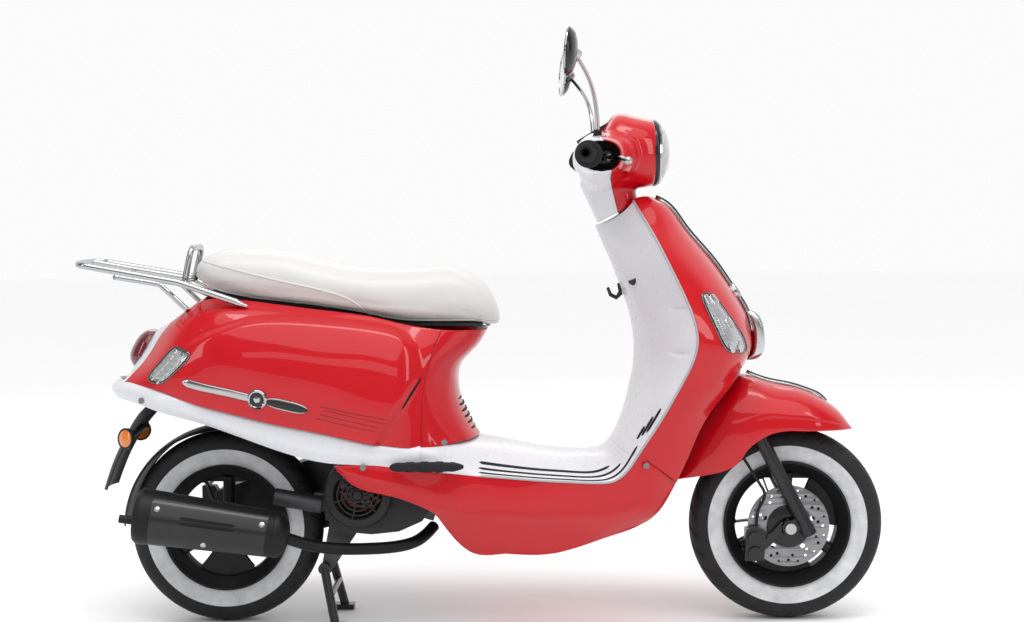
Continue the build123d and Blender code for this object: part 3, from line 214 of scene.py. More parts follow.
def rodAlong(name, path, radii, sides=20, sharp=38):
    # A circle of changing radius carried along a path.
    path = np.asarray(path, float)
    radii = np.broadcast_to(np.asarray(radii, float), len(path))
    first, second = crossFrames(path)
    turn = np.linspace(0, 2 * np.pi, sides, endpoint=False)
    rings = (path[:, None] + radii[:, None, None] * (np.cos(turn)[None, :, None] * first[:, None]
                                                     + np.sin(turn)[None, :, None] * second[:, None]))
    return closedPiece(name, rings, sharp)


def turnedPiece(name, profile, centre, axis, around=96, sharp=38, closed=False):
    # A (radius, along) outline turned about an axis; a closed outline gives a ring with a hole.
    profile = np.asarray(profile, float)
    axis = np.asarray(axis, float) / np.linalg.norm(axis)
    first = np.cross(axis, (0.12, 0.31, 0.94) if abs(axis[2]) < 0.9 else (1, 0, 0))
    first /= np.linalg.norm(first)
    second = np.cross(axis, first)
    turn = np.linspace(0, 2 * np.pi, around, endpoint=False)[:, None, None]
    reach = np.cos(turn) * first + np.sin(turn) * second
    points = np.asarray(centre, float) + reach * profile[None, :, :1] + axis * profile[None, :, 1:]
    faces = gridFaces(around, len(profile), aroundRows=True, aroundColumns=closed)
    return smoothed(sealed(newObject(name, points, faces)), sharp)


def circle(centre, radius, count=32, start=0.0):
    turn = np.linspace(0, 2 * np.pi, count, endpoint=False) + start
    return np.stack([centre[0] + radius * np.cos(turn), centre[1] + radius * np.sin(turn)], -1)


def platePiece(name, outlines, depth, bevel=0.6, middle=0.0, sharp=38):
    # Flat outlines in XZ, with their holes, given a depth along Y about the middle.
    shape = bpy.data.curves.new(name, "CURVE")
    shape.dimensions, shape.fill_mode = "2D", "BOTH"
    shape.extrude = max(depth / 2 - bevel, 0.01) * mm
    shape.bevel_depth, shape.bevel_resolution, shape.offset = bevel * mm, 1, -bevel * mm
    for outline in outlines:
        line = shape.splines.new("POLY")
        line.points.add(len(outline) - 1)
        flat = np.zeros((len(outline), 4))
        flat[:, :2] = np.asarray(outline)[:, :2] * mm
        flat[:, 3] = 1
        line.points.foreach_set("co", flat.ravel())
        line.use_cyclic_u = True
    carrier = bpy.data.objects.new(name + "Curve", shape)
    bpy.context.scene.collection.objects.link(carrier)
    bpy.context.view_layer.update()
    mesh = bpy.data.meshes.new_from_object(carrier.evaluated_get(bpy.context.evaluated_depsgraph_get()))
    bpy.data.objects.remove(carrier)
    # The flat outline stands up: its own x, y, z become X, Z and -Y.
    mesh.transform(Matrix(((1, 0, 0, 0), (0, 0, -1, middle * mm), (0, 1, 0, 0), (0, 0, 0, 1))))
    mesh.name = name
    piece = bpy.data.objects.new(name, mesh)
    bpy.context.scene.collection.objects.link(piece)
    return smoothed(sealed(piece), sharp)


def joined(name, pieces):
    work = bmesh.new()
    for piece in pieces:
        work.from_mesh(piece.data)
    mesh = bpy.data.meshes.new(name)
    work.to_mesh(mesh)
    work.free()
    for piece in pieces:
        bpy.data.objects.remove(piece)
    whole = bpy.data.objects.new(name, mesh)
    bpy.context.scene.collection.objects.link(whole)
    return whole


def mirroredPiece(piece, name):
    other = bpy.data.objects.new(name, piece.data.copy())
    bpy.context.scene.collection.objects.link(other)
    other.data.transform(Matrix.Scale(-1, 4, (0, 1, 0)))
    other.data.flip_normals()
    return other


def bothSides(name, piece):
    return joined(name, [piece, mirroredPiece(piece, name + "Left")])


def towards(centre, way, top=(0, 0, 1)):
    # A matrix that takes a plate's -Y side to face along way at centre.
    way = Vector(way).normalized()
    side = Vector(top).cross(way).normalized() if abs(Vector(top).dot(way)) < 0.99 else Vector((1, 0, 0))
    upward = way.cross(side)
    turn = Matrix((side * -1, way * -1, upward)).transposed().to_4x4()
    return Matrix.Translation(Vector(centre) * mm) @ turn


def smoothStep(value, low, high):
    share = np.clip((value - low) / (high - low), 0, 1)
    return share * share * (3 - 2 * share)


def squared(turn, power):
    c, s = np.cos(turn), np.sin(turn)
    return np.sign(c) * np.abs(c) ** power, np.sign(s) * np.abs(s) ** power


def depthInside(x, z, loop):
    # Distance to a closed outline, positive inside it.
    loop = np.asarray(loop, float)
    start, end = loop, np.roll(loop, -1, axis=0)
    edge = end - start
    place = np.stack([x, z], -1)[..., None, :]
    share = np.clip(((place - start) * edge).sum(-1) / np.maximum((edge ** 2).sum(-1), 1e-9), 0, 1)
    away = np.linalg.norm(place - start - share[..., None] * edge, axis=-1).min(-1)
    crosses = ((start[:, 1] > place[..., 1]) != (end[:, 1] > place[..., 1]))
    reach = (place[..., 1] - start[:, 1]) / np.where(edge[:, 1] == 0, 1e-9,
                                                     edge[:, 1]) * edge[:, 0] + start[:, 0]
    inside = (np.sum(crosses & (place[..., 0] < reach), axis=-1) % 2) == 1
    return np.where(inside, away, -away)


# Materials

class Amount:
    # A socket that takes part in sums; each sum adds its own Math node.
    def __init__(self, tree, socket):
        self.tree, self.socket = tree, socket

    def sum(self, operation, other, swapped=False):
        node = self.tree.nodes.new("ShaderNodeMath")
        node.operation = operation
        for entry, value in zip(node.inputs, (other, self) if swapped else (self, other)):
            feed(self.tree, entry, value)
        return Amount(self.tree, node.outputs[0])

    def __add__(self, other):
        return self.sum("ADD", other)

    __radd__ = __add__

    def __sub__(self, other):
        return self.sum("SUBTRACT", other)

    def __rsub__(self, other):
        return self.sum("SUBTRACT", other, True)

    def __mul__(self, other):
        return self.sum("MULTIPLY", other)

    __rmul__ = __mul__

    def __truediv__(self, other):
        return self.sum("DIVIDE", other)


def feed(tree, entry, value):
    if isinstance(value, Amount):
        tree.links.new(value.socket, entry)
    else:
        entry.default_value = value


class Finish:
    # One material with a Principled shader, and one way to add any other node.
    def __init__(self, name, **shader):
        self.material = bpy.data.materials.new(name)
        self.material.use_nodes = True
        self.tree = self.material.node_tree
        self.shader = self.tree.nodes["Principled BSDF"]
        self.set(**shader)
        self.places = self.node("ShaderNodeTexCoord", output="Object")

    def set(self, **values):
        for key, value in values.items():
            entry = self.shader.inputs[key.replace("_", " ")]
            if isinstance(value, tuple) and len(value) == 3 and entry.type == "RGBA":
                value = value + (1.0,)
            feed(self.tree, entry, value)

    def node(self, kind, output=0, settings=None, **inputs):
        node = self.tree.nodes.new(kind)
        for key, value in (settings or {}).items():
            if key == "stops":
                while len(node.color_ramp.elements) < len(value):
                    node.color_ramp.elements.new(0.5)
                for element, (place, shade) in zip(node.color_ramp.elements, value):
                    element.position = place
                    element.color = (shade, shade, shade, 1) if isinstance(shade, float) else shade + (1.0,)
            else:
                setattr(node, key, value)
        for key, value in inputs.items():
            entry = node.inputs[int(key[1:])] if key[0] == "i" and key[1:].isdigit() \
                else node.inputs[key.replace("_", " ")]
            feed(self.tree, entry, value)
        return Amount(self.tree, node.outputs[output])

    def noise(self, scale, detail=3.0, rough=0.5, output=0, stretch=None):
        return self.node("ShaderNodeTexNoise", output, Vector=self.stretched(stretch), Scale=scale,
                         Detail=detail, Roughness=rough)

    def cells(self, scale, feature="F1", output="Distance", stretch=None):
        return self.node("ShaderNodeTexVoronoi", output, {"feature": feature}, Vector=self.stretched(stretch),
                         Scale=scale)

    def stretched(self, stretch):
        if stretch is None:
            return self.places
        return self.node("ShaderNodeMapping", Vector=self.places, Scale=stretch)

    def ramp(self, value, *stops):
        return self.node("ShaderNodeValToRGB", settings={"stops": stops}, Fac=value)

    def blend(self, share, first, second):
        solid = [c + (1.0,) if isinstance(c, tuple) and len(c) == 3 else c for c in (first, second)]
        return self.node("ShaderNodeMix", 2, {"data_type": "RGBA"}, i0=share, i6=solid[0], i7=solid[1])

    def bump(self, height, distance, strength=1.0):
        self.set(Normal=self.node("ShaderNodeBump", Height=height, Distance=distance * mm, Strength=strength))


def paintFinish(name, deep, bright):
    # Lacquer over colour: a little drift in the colour and gloss, and very shallow waves.
    finish = Finish(name, Coat_Weight=0.7, Coat_Roughness=0.02, Specular_IOR_Level=0.25, IOR=1.4)
    finish.set(Base_Color=finish.blend(finish.noise(3.0, 3.0), deep, bright))
    finish.set(Roughness=finish.noise(9.0, 2.0) * 0.08 + 0.3)
    finish.bump(finish.noise(14.0, 1.0), 0.03, 0.25)
    return finish.material


def mouldedFinish(name, colour, shade, rough, grain, coat=0.0):
    dark = max(colour) < 0.1
    finish = Finish(name, Coat_Weight=coat, Coat_Roughness=0.06, Specular_IOR_Level=0.22 if dark else 0.4)
    finish.set(Base_Color=finish.blend(finish.noise(7.0, 5.0), colour, shade))
    finish.set(Roughness=finish.noise(90.0, 4.0) * 0.14 + rough)
    finish.bump(finish.noise(300.0, 2.0), grain, 0.4)
    return finish.material


def vinylFinish(name, colour, shade):
    # Leather grain: the gaps between small cells, over a coarser wrinkle.
    finish = Finish(name, Specular_IOR_Level=0.45, Coat_Weight=0.15, Coat_Roughness=0.3)
    finish.set(Sheen_Weight=0.12, Sheen_Roughness=0.4)
    grain = finish.cells(520.0, "DISTANCE_TO_EDGE")
    creases = finish.ramp(grain, (0.0, 0.0), (0.12, 1.0))
    finish.set(Base_Color=finish.blend(finish.noise(4.0, 5.0) * 0.7 + creases * 0.3, shade, colour))
    finish.set(Roughness=finish.noise(45.0, 3.0) * 0.12 + 0.36)
    finish.bump(creases * 0.5 + finish.noise(60.0, 4.0) * 0.8, 0.16, 0.5)
    return finish.material


def metalFinish(name, colour, rough, spread, bumpiness=0.02, streaks=None, metallic=1.0):
    finish = Finish(name, Metallic=metallic)
    worn = finish.noise(30.0, 6.0, 0.6, stretch=streaks)
    dark = tuple(c * 0.82 for c in colour)
    finish.set(Base_Color=finish.blend(worn, dark, colour))
    finish.set(Roughness=finish.noise(140.0, 4.0, stretch=streaks) * spread + rough)
    finish.bump(finish.noise(500.0, 3.0, stretch=streaks), bumpiness, 0.4)
    return finish.material


def castFinish(name, colour, rough, metallic):
    finish = Finish(name, Metallic=metallic, Specular_IOR_Level=0.25)
    finish.set(Base_Color=finish.blend(finish.noise(22.0, 6.0), tuple(c * 0.6 for c in colour), colour))
    finish.set(Roughness=finish.noise(200.0, 4.0) * 0.2 + rough)
    finish.bump(finish.noise(650.0, 4.0) + finish.cells(420.0), 0.12, 0.6)
    return finish.material


def rubberFinish(name, colour, rough=0.62):
    finish = Finish(name, Specular_IOR_Level=0.18)
    finish.set(Base_Color=finish.blend(finish.noise(25.0, 6.0), colour, tuple(c * 1.9 for c in colour)))
    finish.set(Roughness=finish.noise(120.0, 4.0) * 0.2 + rough)
    finish.bump(finish.noise(800.0, 3.0), 0.08, 0.5)
    return finish.material


def tyreFinish(name, centre, band):
    # A pale band between two radii about the axle, soft at its edges, on both sides of the black tyre.
    finish = Finish(name, Specular_IOR_Level=0.2)
    fromAxle = finish.node("ShaderNodeVectorMath", 0, {"operation": "SUBTRACT"}, i0=finish.places,
                            i1=tuple(float(c) * mm for c in centre))
    flat = finish.node("ShaderNodeVectorMath", 0, {"operation": "MULTIPLY"}, i0=fromAxle, i1=(1.0, 0.0, 1.0))
    radius = finish.node("ShaderNodeVectorMath", 1, {"operation": "LENGTH"}, i0=flat)
    low, high = (r * mm for r in band)
    edges = [(radius - low) * 900.0, (high - radius) * 900.0]
    soft = [finish.node("ShaderNodeClamp", Value=e) for e in edges]
    pale = soft[0] * soft[1]
    dirt = finish.noise(38.0, 7.0, 0.6)
    white = finish.blend(finish.ramp(dirt, (0.35, 0.0), (0.75, 1.0)), (0.70, 0.71, 0.72), (0.50, 0.51, 0.53))
    black = finish.blend(dirt, (0.012, 0.012, 0.013), (0.03, 0.03, 0.032))
    finish.set(Base_Color=finish.blend(pale, black, white), Roughness=finish.noise(150.0, 4.0) * 0.2 + 0.5)
    finish.bump(finish.noise(700.0, 4.0), 0.1, 0.5)
    return finish.material


def lensFinish(name, colour, alpha, rough=0.05, ribs=0.0):
    finish = Finish(name, IOR=1.49, Coat_Weight=1.0, Coat_Roughness=0.02, Specular_IOR_Level=0.6)
    finish.set(Base_Color=finish.blend(finish.noise(12.0, 3.0), colour, tuple(c * 0.85 for c in colour)))
    finish.set(Roughness=finish.noise(80.0, 2.0) * 0.04 + rough)
    finish.set(Alpha=finish.noise(20.0, 2.0) * 0.04 + alpha)
    if ribs:
        finish.bump(finish.node("ShaderNodeTexWave", 1, {"bands_direction": "Z"}, Vector=finish.places,
                                Scale=ribs),
                    0.5, 0.6)
    return finish.material


print("materials")
redPaint = paintFinish("redPaint", (0.50, 0.0, 0.005), (0.56, 0.001, 0.009))
# A darker copy of the red paint, used as painted shade: in the body's grooves and corner seam, and on the fan
# inside its shroud.
paintedShadeRed = paintFinish("darkRedLine", (0.22, 0.0, 0.004), (0.26, 0.0, 0.006))
palePlastic = mouldedFinish("palePlastic", (0.70, 0.71, 0.745), (0.68, 0.69, 0.725), 0.22, 0.001, 0.3)
greyTrim = mouldedFinish("greyTrim", (0.42, 0.43, 0.45), (0.36, 0.37, 0.39), 0.35, 0.02, 0.1)
seatVinyl = vinylFinish("seatVinyl", (0.66, 0.655, 0.64), (0.60, 0.595, 0.58))
blackPlastic = mouldedFinish("blackPlastic", (0.016, 0.016, 0.017), (0.028, 0.028, 0.03), 0.42, 0.06)
glossBlack = mouldedFinish("glossBlack", (0.01, 0.01, 0.011), (0.016, 0.016, 0.018), 0.14, 0.004, 0.4)
blackRubber = rubberFinish("blackRubber", (0.014, 0.014, 0.015))
chromePlate = metalFinish("chromePlate", (0.50, 0.505, 0.515), 0.05, 0.05)
steelFinish = metalFinish("zincSteel", (0.56, 0.56, 0.57), 0.28, 0.16, 0.05)
discSteel = metalFinish("discSteel", (0.30, 0.30, 0.31), 0.24, 0.12, 0.02)
castAlloy = castFinish("castAlloy", (0.11, 0.11, 0.115), 0.4, 0.75)
blackEnamel = mouldedFinish("blackEnamel", (0.012, 0.012, 0.013), (0.02, 0.02, 0.022), 0.26, 0.02, 0.35)
blackAlloy = castFinish("blackAlloy", (0.014, 0.014, 0.015), 0.32, 0.1)
mufflerBlack = castFinish("mufflerBlack", (0.012, 0.012, 0.013), 0.34, 0.1)
clearLens = lensFinish("clearLens", (0.86, 0.87, 0.89), 0.24)
lampGlass = lensFinish("lampGlass", (0.72, 0.74, 0.77), 0.42)
redLens = lensFinish("redLens", (0.16, 0.0, 0.008), 0.93, ribs=40.0)
amberLens = lensFinish("amberLens", (0.85, 0.22, 0.01), 0.95, ribs=60.0)
darkChrome = metalFinish("darkChrome", (0.22, 0.225, 0.23), 0.08, 0.06)
silverPocket = metalFinish("silverPocket", (0.62, 0.625, 0.635), 0.16, 0.1, 0.05)
mirrorGlass = metalFinish("mirrorGlass", (0.78, 0.80, 0.83), 0.015, 0.01, 0.0)
# Near-black stand-in for openings, painted shade: the shield slots, louvres, front vents, heat shield slots
# and the dark walls in the handlebar arms.
darkHollow = mouldedFinish("darkHollow", (0.006, 0.006, 0.006), (0.01, 0.01, 0.01), 0.6, 0.05)
frontTyreRubber = tyreFinish("frontTyreRubber", steeringAxle, (141, 177))
rearTyreRubber = tyreFinish("rearTyreRubber", rearAxle, (141, 177))


def give(piece, body, slot, material, *nodes):
    # Material, body, slot and what the piece stands for; the slot is not used.
    piece.data.materials.clear()
    piece.data.materials.append(material)
    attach(piece, body)
    if nodes:
        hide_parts(*nodes)
    return piece


# The rider's side: leg shield, tunnel and floor in one pale surface

deckRows = [
    [(336, 51, 935), (317, 46, 914), (287, 32, 894), (254, 0, 882)],
    [(348, 78, 911), (326, 68, 884), (294, 46, 862), (266, 0, 850)],
    [(369, 112, 873), (344, 92, 848), (308, 58, 829), (281, 0, 817)],
    [(405, 160, 799), (381, 122, 772), (337, 72, 758), (307, 0, 750)],
    [(438, 188, 726), (405, 142, 706), (360, 82, 696), (326, 0, 694)],
    [(454, 200, 682), (411, 151, 662), (368, 88, 652), (335, 0, 650)],
    [(461, 205, 638), (413, 153, 620), (370, 90, 610), (338, 0, 608)],
    [(454, 205, 602), (408, 152, 588), (367, 90, 578), (336, 0, 572)],
    [(433, 202, 556), (392, 150, 544), (355, 88, 538), (329, 0, 536)],
    [(405, 199, 505), (367, 147, 496), (336, 88, 492), (319, 0, 492)],
    [(374, 195, 453), (340, 143, 446), (316, 88, 446), (305, 0, 446)],
    [(336, 190, 395), (312, 140, 394), (296, 90, 402), (285, 0, 408)],
    [(303, 188, 351), (290, 140, 360), (276, 92, 376), (262, 0, 388)],
    [(281, 188, 338), (268, 140, 347), (256, 94, 366), (240, 0, 383)],
    [(256, 188, 335), (246, 140, 342), (234, 96, 361), (218, 0, 383)],
    [(200, 188, 337), (196, 140, 343), (190, 98, 362), (184, 0, 384)],
    [(128, 188, 341), (126, 140, 348), (122, 101, 368), (118, 0, 392)],
    [(60, 188, 347), (60, 143, 355), (60, 107, 378), (58, 0, 404)],
    [(0, 188, 352), (-2, 149, 364), (2, 118, 389), (8, 0, 412)],
    [(-60, 188, 357), (-62, 170, 378), (-60, 148, 402), (-40, 0, 420)],
    [(-129, 187, 362), (-130, 186, 386), (-130, 178, 412), (-96, 0, 428)]]
shieldRows = 11          # rows of the table that belong to the leg shield, the rest to the floor
finePerRow = 14


def seamOf(rows, column):
    return [rightSide(row)[column] for row in rows]


notch = {"heights": (706, 610), "out": 168, "tall": 7.0, "wide": 30.0, "depth": 5.0, "above": 500}


def makeDeck():
    fine = surfaceThrough(wholeWidth(deckRows), finePerRow * (len(deckRows) - 1) + 1, 97)
    knots = chordKnots(wholeWidth(deckRows))
    cut = int(round(knots[shieldRows] / knots[-1] * (len(fine) - 1)))
    # Two notches are pressed into each wing, tapered ovals that point at the tunnel.
    normal = normalsOf(fine)
    facing = np.sign(normal[40, 48, 0])            # the side that the sheet's normals point to
    for z in notch["heights"]:
        for side in (-1, 1):
            away = np.hypot((fine[..., 2] - z) / notch["tall"],
                            (np.abs(fine[..., 1]) - notch["out"]) / notch["wide"])
            near = (fine[..., 1] * side > 0) & (fine[..., 2] > notch["above"])
            press = np.where(near, 1 - smoothStep(away, 0.25, 1.0), 0) * notch["depth"]
            fine = fine + normal * press[..., None] * facing
    shield = panelPiece("innerShield", fine[:cut + 1], (600, 0, 600), 3.0)
    give(shield, "frame", "pale_plastic", palePlastic, "leg_shield_inner")
    floor = panelPiece("footBoard", fine[cut:], (100, 0, 200), 3.0)
    give(floor, "frame", "pale_plastic", palePlastic, "floorboard")
    return fine


def along(grid, row, column):
    # A place and normal on a grid at fractional row and column.
    row, column = np.clip(row, 0, len(grid) - 1.001), np.clip(column, 0, grid.shape[1] - 1.001)
    i, j = np.floor(row).astype(int), np.floor(column).astype(int)
    a, b = (row - i)[..., None], (column - j)[..., None]
    return ((grid[i, j] * (1 - b) + grid[i, j + 1] * b) * (1 - a)
            + (grid[i + 1, j] * (1 - b) + grid[i + 1, j + 1] * b) * a)


def ribbon(name, path, upward, width, height, taper=None, across=9, sharp=38):
    # A low rounded strip: an arc of the given width and height carried along a path on a surface.
    path, upward = np.asarray(path, float), np.asarray(upward, float)
    ahead = np.gradient(path, axis=0)
    side = np.cross(upward, ahead)
    side /= np.linalg.norm(side, axis=1, keepdims=True)
    width = np.broadcast_to(np.asarray(width, float), len(path))
    if taper is not None:
        ends = np.minimum(np.linspace(0, 1, len(path)), np.linspace(1, 0, len(path)))
        width = width * np.sqrt(np.clip(1 - (1 - np.clip(ends / taper, 0, 1)) ** 2, 0.02, 1))
    turn = np.linspace(0, np.pi, across)
    crown = np.sign(np.cos(turn)) * np.abs(np.cos(turn)) ** 0.6
    lift = np.sin(turn) ** 0.6
    top = (path[:, None] + side[:, None] * (crown[None, :, None] * width[:, None, None] / 2)
           + upward[:, None] * (lift[None, :, None] * height))
    bottom = path[:, None] + side[:, None] * (crown[None, ::-1, None] * width[:, None, None] / 2) \
        - upward[:, None] * 0.8
    return closedPiece(name, np.concatenate([top, bottom[:, 1:-1]], axis=1), sharp)


def stripOn(name, grid, rows, columns, width, height, count=60, taper=0.03):
    row, column = (np.linspace(*ends, count) for ends in (rows, columns))
    path = along(grid, row, column)
    return ribbon(name, path, along(normalsOf(grid), row, column), width, height, taper)


def deckRow(grid, x, column):
    # The row where a column of the floor part passes a station.
    line = grid[:, column, 0]
    floorPart = np.arange(len(line)) > len(line) * 0.45
    return float(np.argmin(np.where(floorPart, np.abs(line - x), 1e9)))


floorMats = {"columns": (5, 11, 17), "back": -6, "front": (336, 300, 276), "width": 8.0, "height": 2.6}


def makeFloorMats(deck):
    made = []
    outward = facedFrom(deck, (100, 0, 200))
    for column, front in zip(floorMats["columns"], floorMats["front"]):
        back = deckRow(outward, floorMats["back"], column)
        ahead = float(np.argmin(np.abs(outward[:, column, 0] - front) + np.abs(outward[:, column,
                                                                                       2] - 380) * 0.5))
        made.append(stripOn("mat", outward, (back, ahead), (column, column), floorMats["width"],
                            floorMats["height"]))
        other = outward.shape[1] - 1 - column
        made.append(stripOn("mat", outward, (back, ahead), (other, other), floorMats["width"],
                            floorMats["height"]))
    give(joined("floorMats", made), "frame", "black_rubber", blackRubber, "floor_mats")


shieldSlots = {"places": ((425, 452, 8.5), (432, 474, 6.5), (440, 492, 4.5)), "width": 8.5, "rise": 0.9}


def makeShieldSlots(deck):
    # Three slanting slots low on each wing, near-black strips of painted shade.
    made = []
    outward = facedFrom(deck, (600, 0, 600))
    for low, high, column in shieldSlots["places"]:
        for mirror in (False, True):
            at = outward.shape[1] - 1 - column if mirror else column
            line = along(outward, np.arange(len(outward)) * 1.0, np.full(len(outward), at))
            shieldPart = np.arange(len(line)) < len(line) * 0.62
            rows = [float(np.argmin(np.where(shieldPart, np.abs(line[:, 2] - z), 1e9))) for z in (low, high)]
            made.append(stripOn("slot", outward, rows, (at, at), shieldSlots["width"], shieldSlots["rise"],
                                40, 0.22))
    give(joined("shieldSlots", made), "frame", "black_plastic", darkHollow)


rimTrim = {"radius": 2.6, "rows": 19}


def makeRimTrim():
    # A thin grey strip in the seam between the red front and the pale inner side.
    seam = np.array(seamOf(deckRows, 0))[:rimTrim["rows"]]
    line = lineThrough(seam, 260)
    strip = rodAlong("rimTrim", line + (0, -0.5, 0), rimTrim["radius"], 10)
    give(bothSides("rimTrims", strip), "frame", "black_plastic", greyTrim)


# The red leg shield, in an upper part across the whole width and two cheeks beside the wheel

shieldTable = [
    [(337, 50, 938), (352, 45, 943), (366, 32, 945), (376, 0, 945)],
    [(347, 76, 914), (376, 64, 922), (398, 40, 927), (410, 0, 929)],
    [(370, 112, 874), (402, 93, 877), (433, 55, 879), (450, 0, 880)],
    [(406, 160, 800), (446, 131, 802), (487, 78, 804), (512, 0, 806)],
    [(439, 188, 727), (488, 158, 728), (535, 100, 730), (563, 0, 732)],
    [(455, 200, 683), (508, 170, 684), (558, 108, 686), (588, 0, 690)],
    [(462, 205, 639), (517, 177, 640), (570, 114, 642), (600, 0, 648)],
    [(455, 205, 602), (514, 179, 601), (570, 116, 602), (602, 0, 606)],
    [(434, 203, 556), (496, 178, 556), (550, 122, 560), (580, 0, 566)]]
cheekTable = [
    [(427, 201, 543), (485, 181, 543), (537, 134, 546), (569, 56, 557)],
    [(420, 200, 530), (474, 184, 530), (522, 148, 530), (550, 104, 540)],
    [(402, 197, 500), (446, 184, 498), (486, 160, 496), (510, 132, 496)],
    [(382, 196, 466), (418, 184, 464), (452, 166, 462), (484, 141, 462)],
    [(362, 193, 432), (396, 182, 428), (430, 167, 424), (462, 145, 420)],
    [(344, 190, 404), (374, 182, 392), (412, 168, 382), (443, 149, 376)],
    [(338, 189, 395), (366, 181, 374), (398, 168, 349), (421, 149, 329)]]


def makeFrontShield():
    # The inner column follows the middle down to the wheel opening, then the opening's edge.
    table = rightSide(shieldTable + cheekTable)
    half = surfaceThrough(table, 230, 70)
    knots = chordKnots(table)
    meets = int(round(knots[len(shieldTable) - 1] / knots[-1] * (len(half) - 1)))
    half[..., 1] = np.minimum(half[..., 1], 0)
    half[:meets + 1, -1, 1] = 0
    half = facedFrom(half, (250, 0, 600))
    right = newObject("frontShield", half, gridFaces(*half.shape[:2]))
    whole = sealed(bothSides("frontShield", right), False)
    whole = withWall(whole, 3.0)
    whole.name = "frontShield"
    give(whole, "frame", "red_paint", redPaint, "leg_shield_front")


fenderRidge = [(425, 332), (448, 425), (490, 503), (540, 540), (578, 547), (633, 530), (685, 519), (730, 504),
               (759, 488), (792, 462), (812, 436), (821, 424)]
fenderEdge = [(430, 324, 76), (492, 336, 98), (540, 351, 108), (560, 366, 113), (575, 389, 117),
              (600, 412, 118),
              (629, 427, 117), (660, 433, 114), (705, 432, 107), (752, 430, 90), (790, 428, 62),
              (817, 426, 26)]


def makeFender():
    # Each section rises from edge to ridge as a flattened half ring; a raised line follows the lower edge.
    ridge, edge = lineThrough(fenderRidge, 150), lineThrough(fenderEdge, 150)
    turn = np.linspace(-np.pi / 2, np.pi / 2, 81)
    lift = np.abs(np.cos(turn)) ** 0.8
    side = np.sign(turn) * np.abs(np.sin(turn)) ** 0.85
    grid = np.zeros((150, 81, 3))
    grid[..., 0] = edge[:, None, 0] + (ridge[:, None, 0] - edge[:, None, 0]) * lift
    grid[..., 1] = side * edge[:, None, 2]
    grid[..., 2] = edge[:, None, 1] + (ridge[:, None, 1] - edge[:, None, 1]) * lift
    grid = facedFrom(grid, (640, 0, 300))
    height = (grid[..., 2] - edge[:, None, 1]) / np.maximum(ridge[:, None, 1] - edge[:, None, 1], 1)
    crease = smoothStep(height, 0.26, 0.36) * smoothStep(grid[..., 0], 545, 640)
    grid = grid + normalsOf(grid) * (crease * 2.6)[..., None]
    shell = withWall(newObject("frontFender", grid, gridFaces(150, 81)), 2.6)
    give(shell, "steering", "red_paint", redPaint, "front_fender")
    tip = [(588, 549), (633, 532), (685, 521), (728, 507), (752, 495), (764, 482)]
    crest = lineThrough([(x, 0, z + 2) for x, z in tip], 80)
    upward = np.cross(np.gradient(crest, axis=0), (0, 1, 0))
    upward *= np.sign(upward[:, 2:])
    upward /= np.linalg.norm(upward, axis=1, keepdims=True)
    base = ribbon("base", crest, upward, np.linspace(20, 34, 80), 4.0, 0.25, 15)
    give(base, "steering", "chrome", chromePlate).name = "fenderTrim"
    insert = ribbon("fenderTrimInsert", crest + upward * 2.6, upward, np.linspace(11, 20, 80), 4.0, 0.25, 15)
    give(insert, "steering", "black_plastic", glossBlack)


skirtTable = [
    [(-314, 184, 374), (-312, 184, 372), (-311, 182, 370), (-310, 180, 369), (-308, 178, 367)],
    [(-252, 188, 377), (-256, 189, 362), (-262, 188, 346), (-266, 184, 338), (-264, 179, 331)],
    [(-176, 188, 369), (-182, 190, 345), (-189, 189, 324), (-192, 185, 316), (-186, 178, 309)],
    [(-118, 188, 361), (-124, 190, 330), (-130, 189, 299), (-130, 185, 291), (-116, 176, 284)],
    [(-60, 188, 356), (-72, 191, 318), (-86, 189, 284), (-88, 183, 276), (-84, 148, 241)],
    [(0, 188, 350), (-8, 191, 306), (-18, 187, 272), (-22, 180, 262), (-24, 114, 172)],
    [(64, 188, 345), (62, 191, 302), (58, 186, 266), (56, 178, 256), (54, 112, 168)],
    [(128, 188, 341), (128, 190, 300), (128, 184, 262), (128, 176, 252), (134, 112, 166)],
    [(200, 188, 337), (202, 188, 298), (204, 181, 262), (204, 173, 252), (206, 112, 181)],
    [(256, 188, 334), (264, 186, 300), (274, 176, 266), (277, 168, 256), (280, 112, 206)],
    [(302, 188, 350), (316, 182, 316), (330, 171, 278), (334, 162, 267), (345, 114, 231)],
    [(337, 189, 394), (356, 182, 356), (372, 170, 308), (377, 160, 290), (388, 122, 266)],
    [(338, 186, 401), (368, 176, 380), (395, 163, 357), (408, 153, 347), (423, 136, 336)]]
bellyTable = [
    [(-24, 116, 172), (-20, 0, 164)], [(54, 114, 168), (54, 0, 160)], [(134, 114, 166), (134, 0, 158)],
    [(206, 114, 181), (206, 0, 175)], [(280, 114, 206), (280, 0, 201)], [(345, 116, 231), (345, 0, 226)],
    [(388, 122, 266), (386, 0, 262)]]


def makeSkirts():
    side = panelPiece("skirtSide", surfaceThrough(rightSide(skirtTable), 150, 60), (100, 0, 300), 3.0)
    belly = panelPiece("belly", surfaceThrough(wholeWidth(bellyTable), 60, 31), (100, 0, 300), 3.0)
    whole = joined("lowerSkirts", [bothSides("skirts", side), belly])
    give(whole, "frame", "red_paint", redPaint, "lower_skirts")


# The body under the seat: one surface from the middle of its front, round the corner and back to the tail

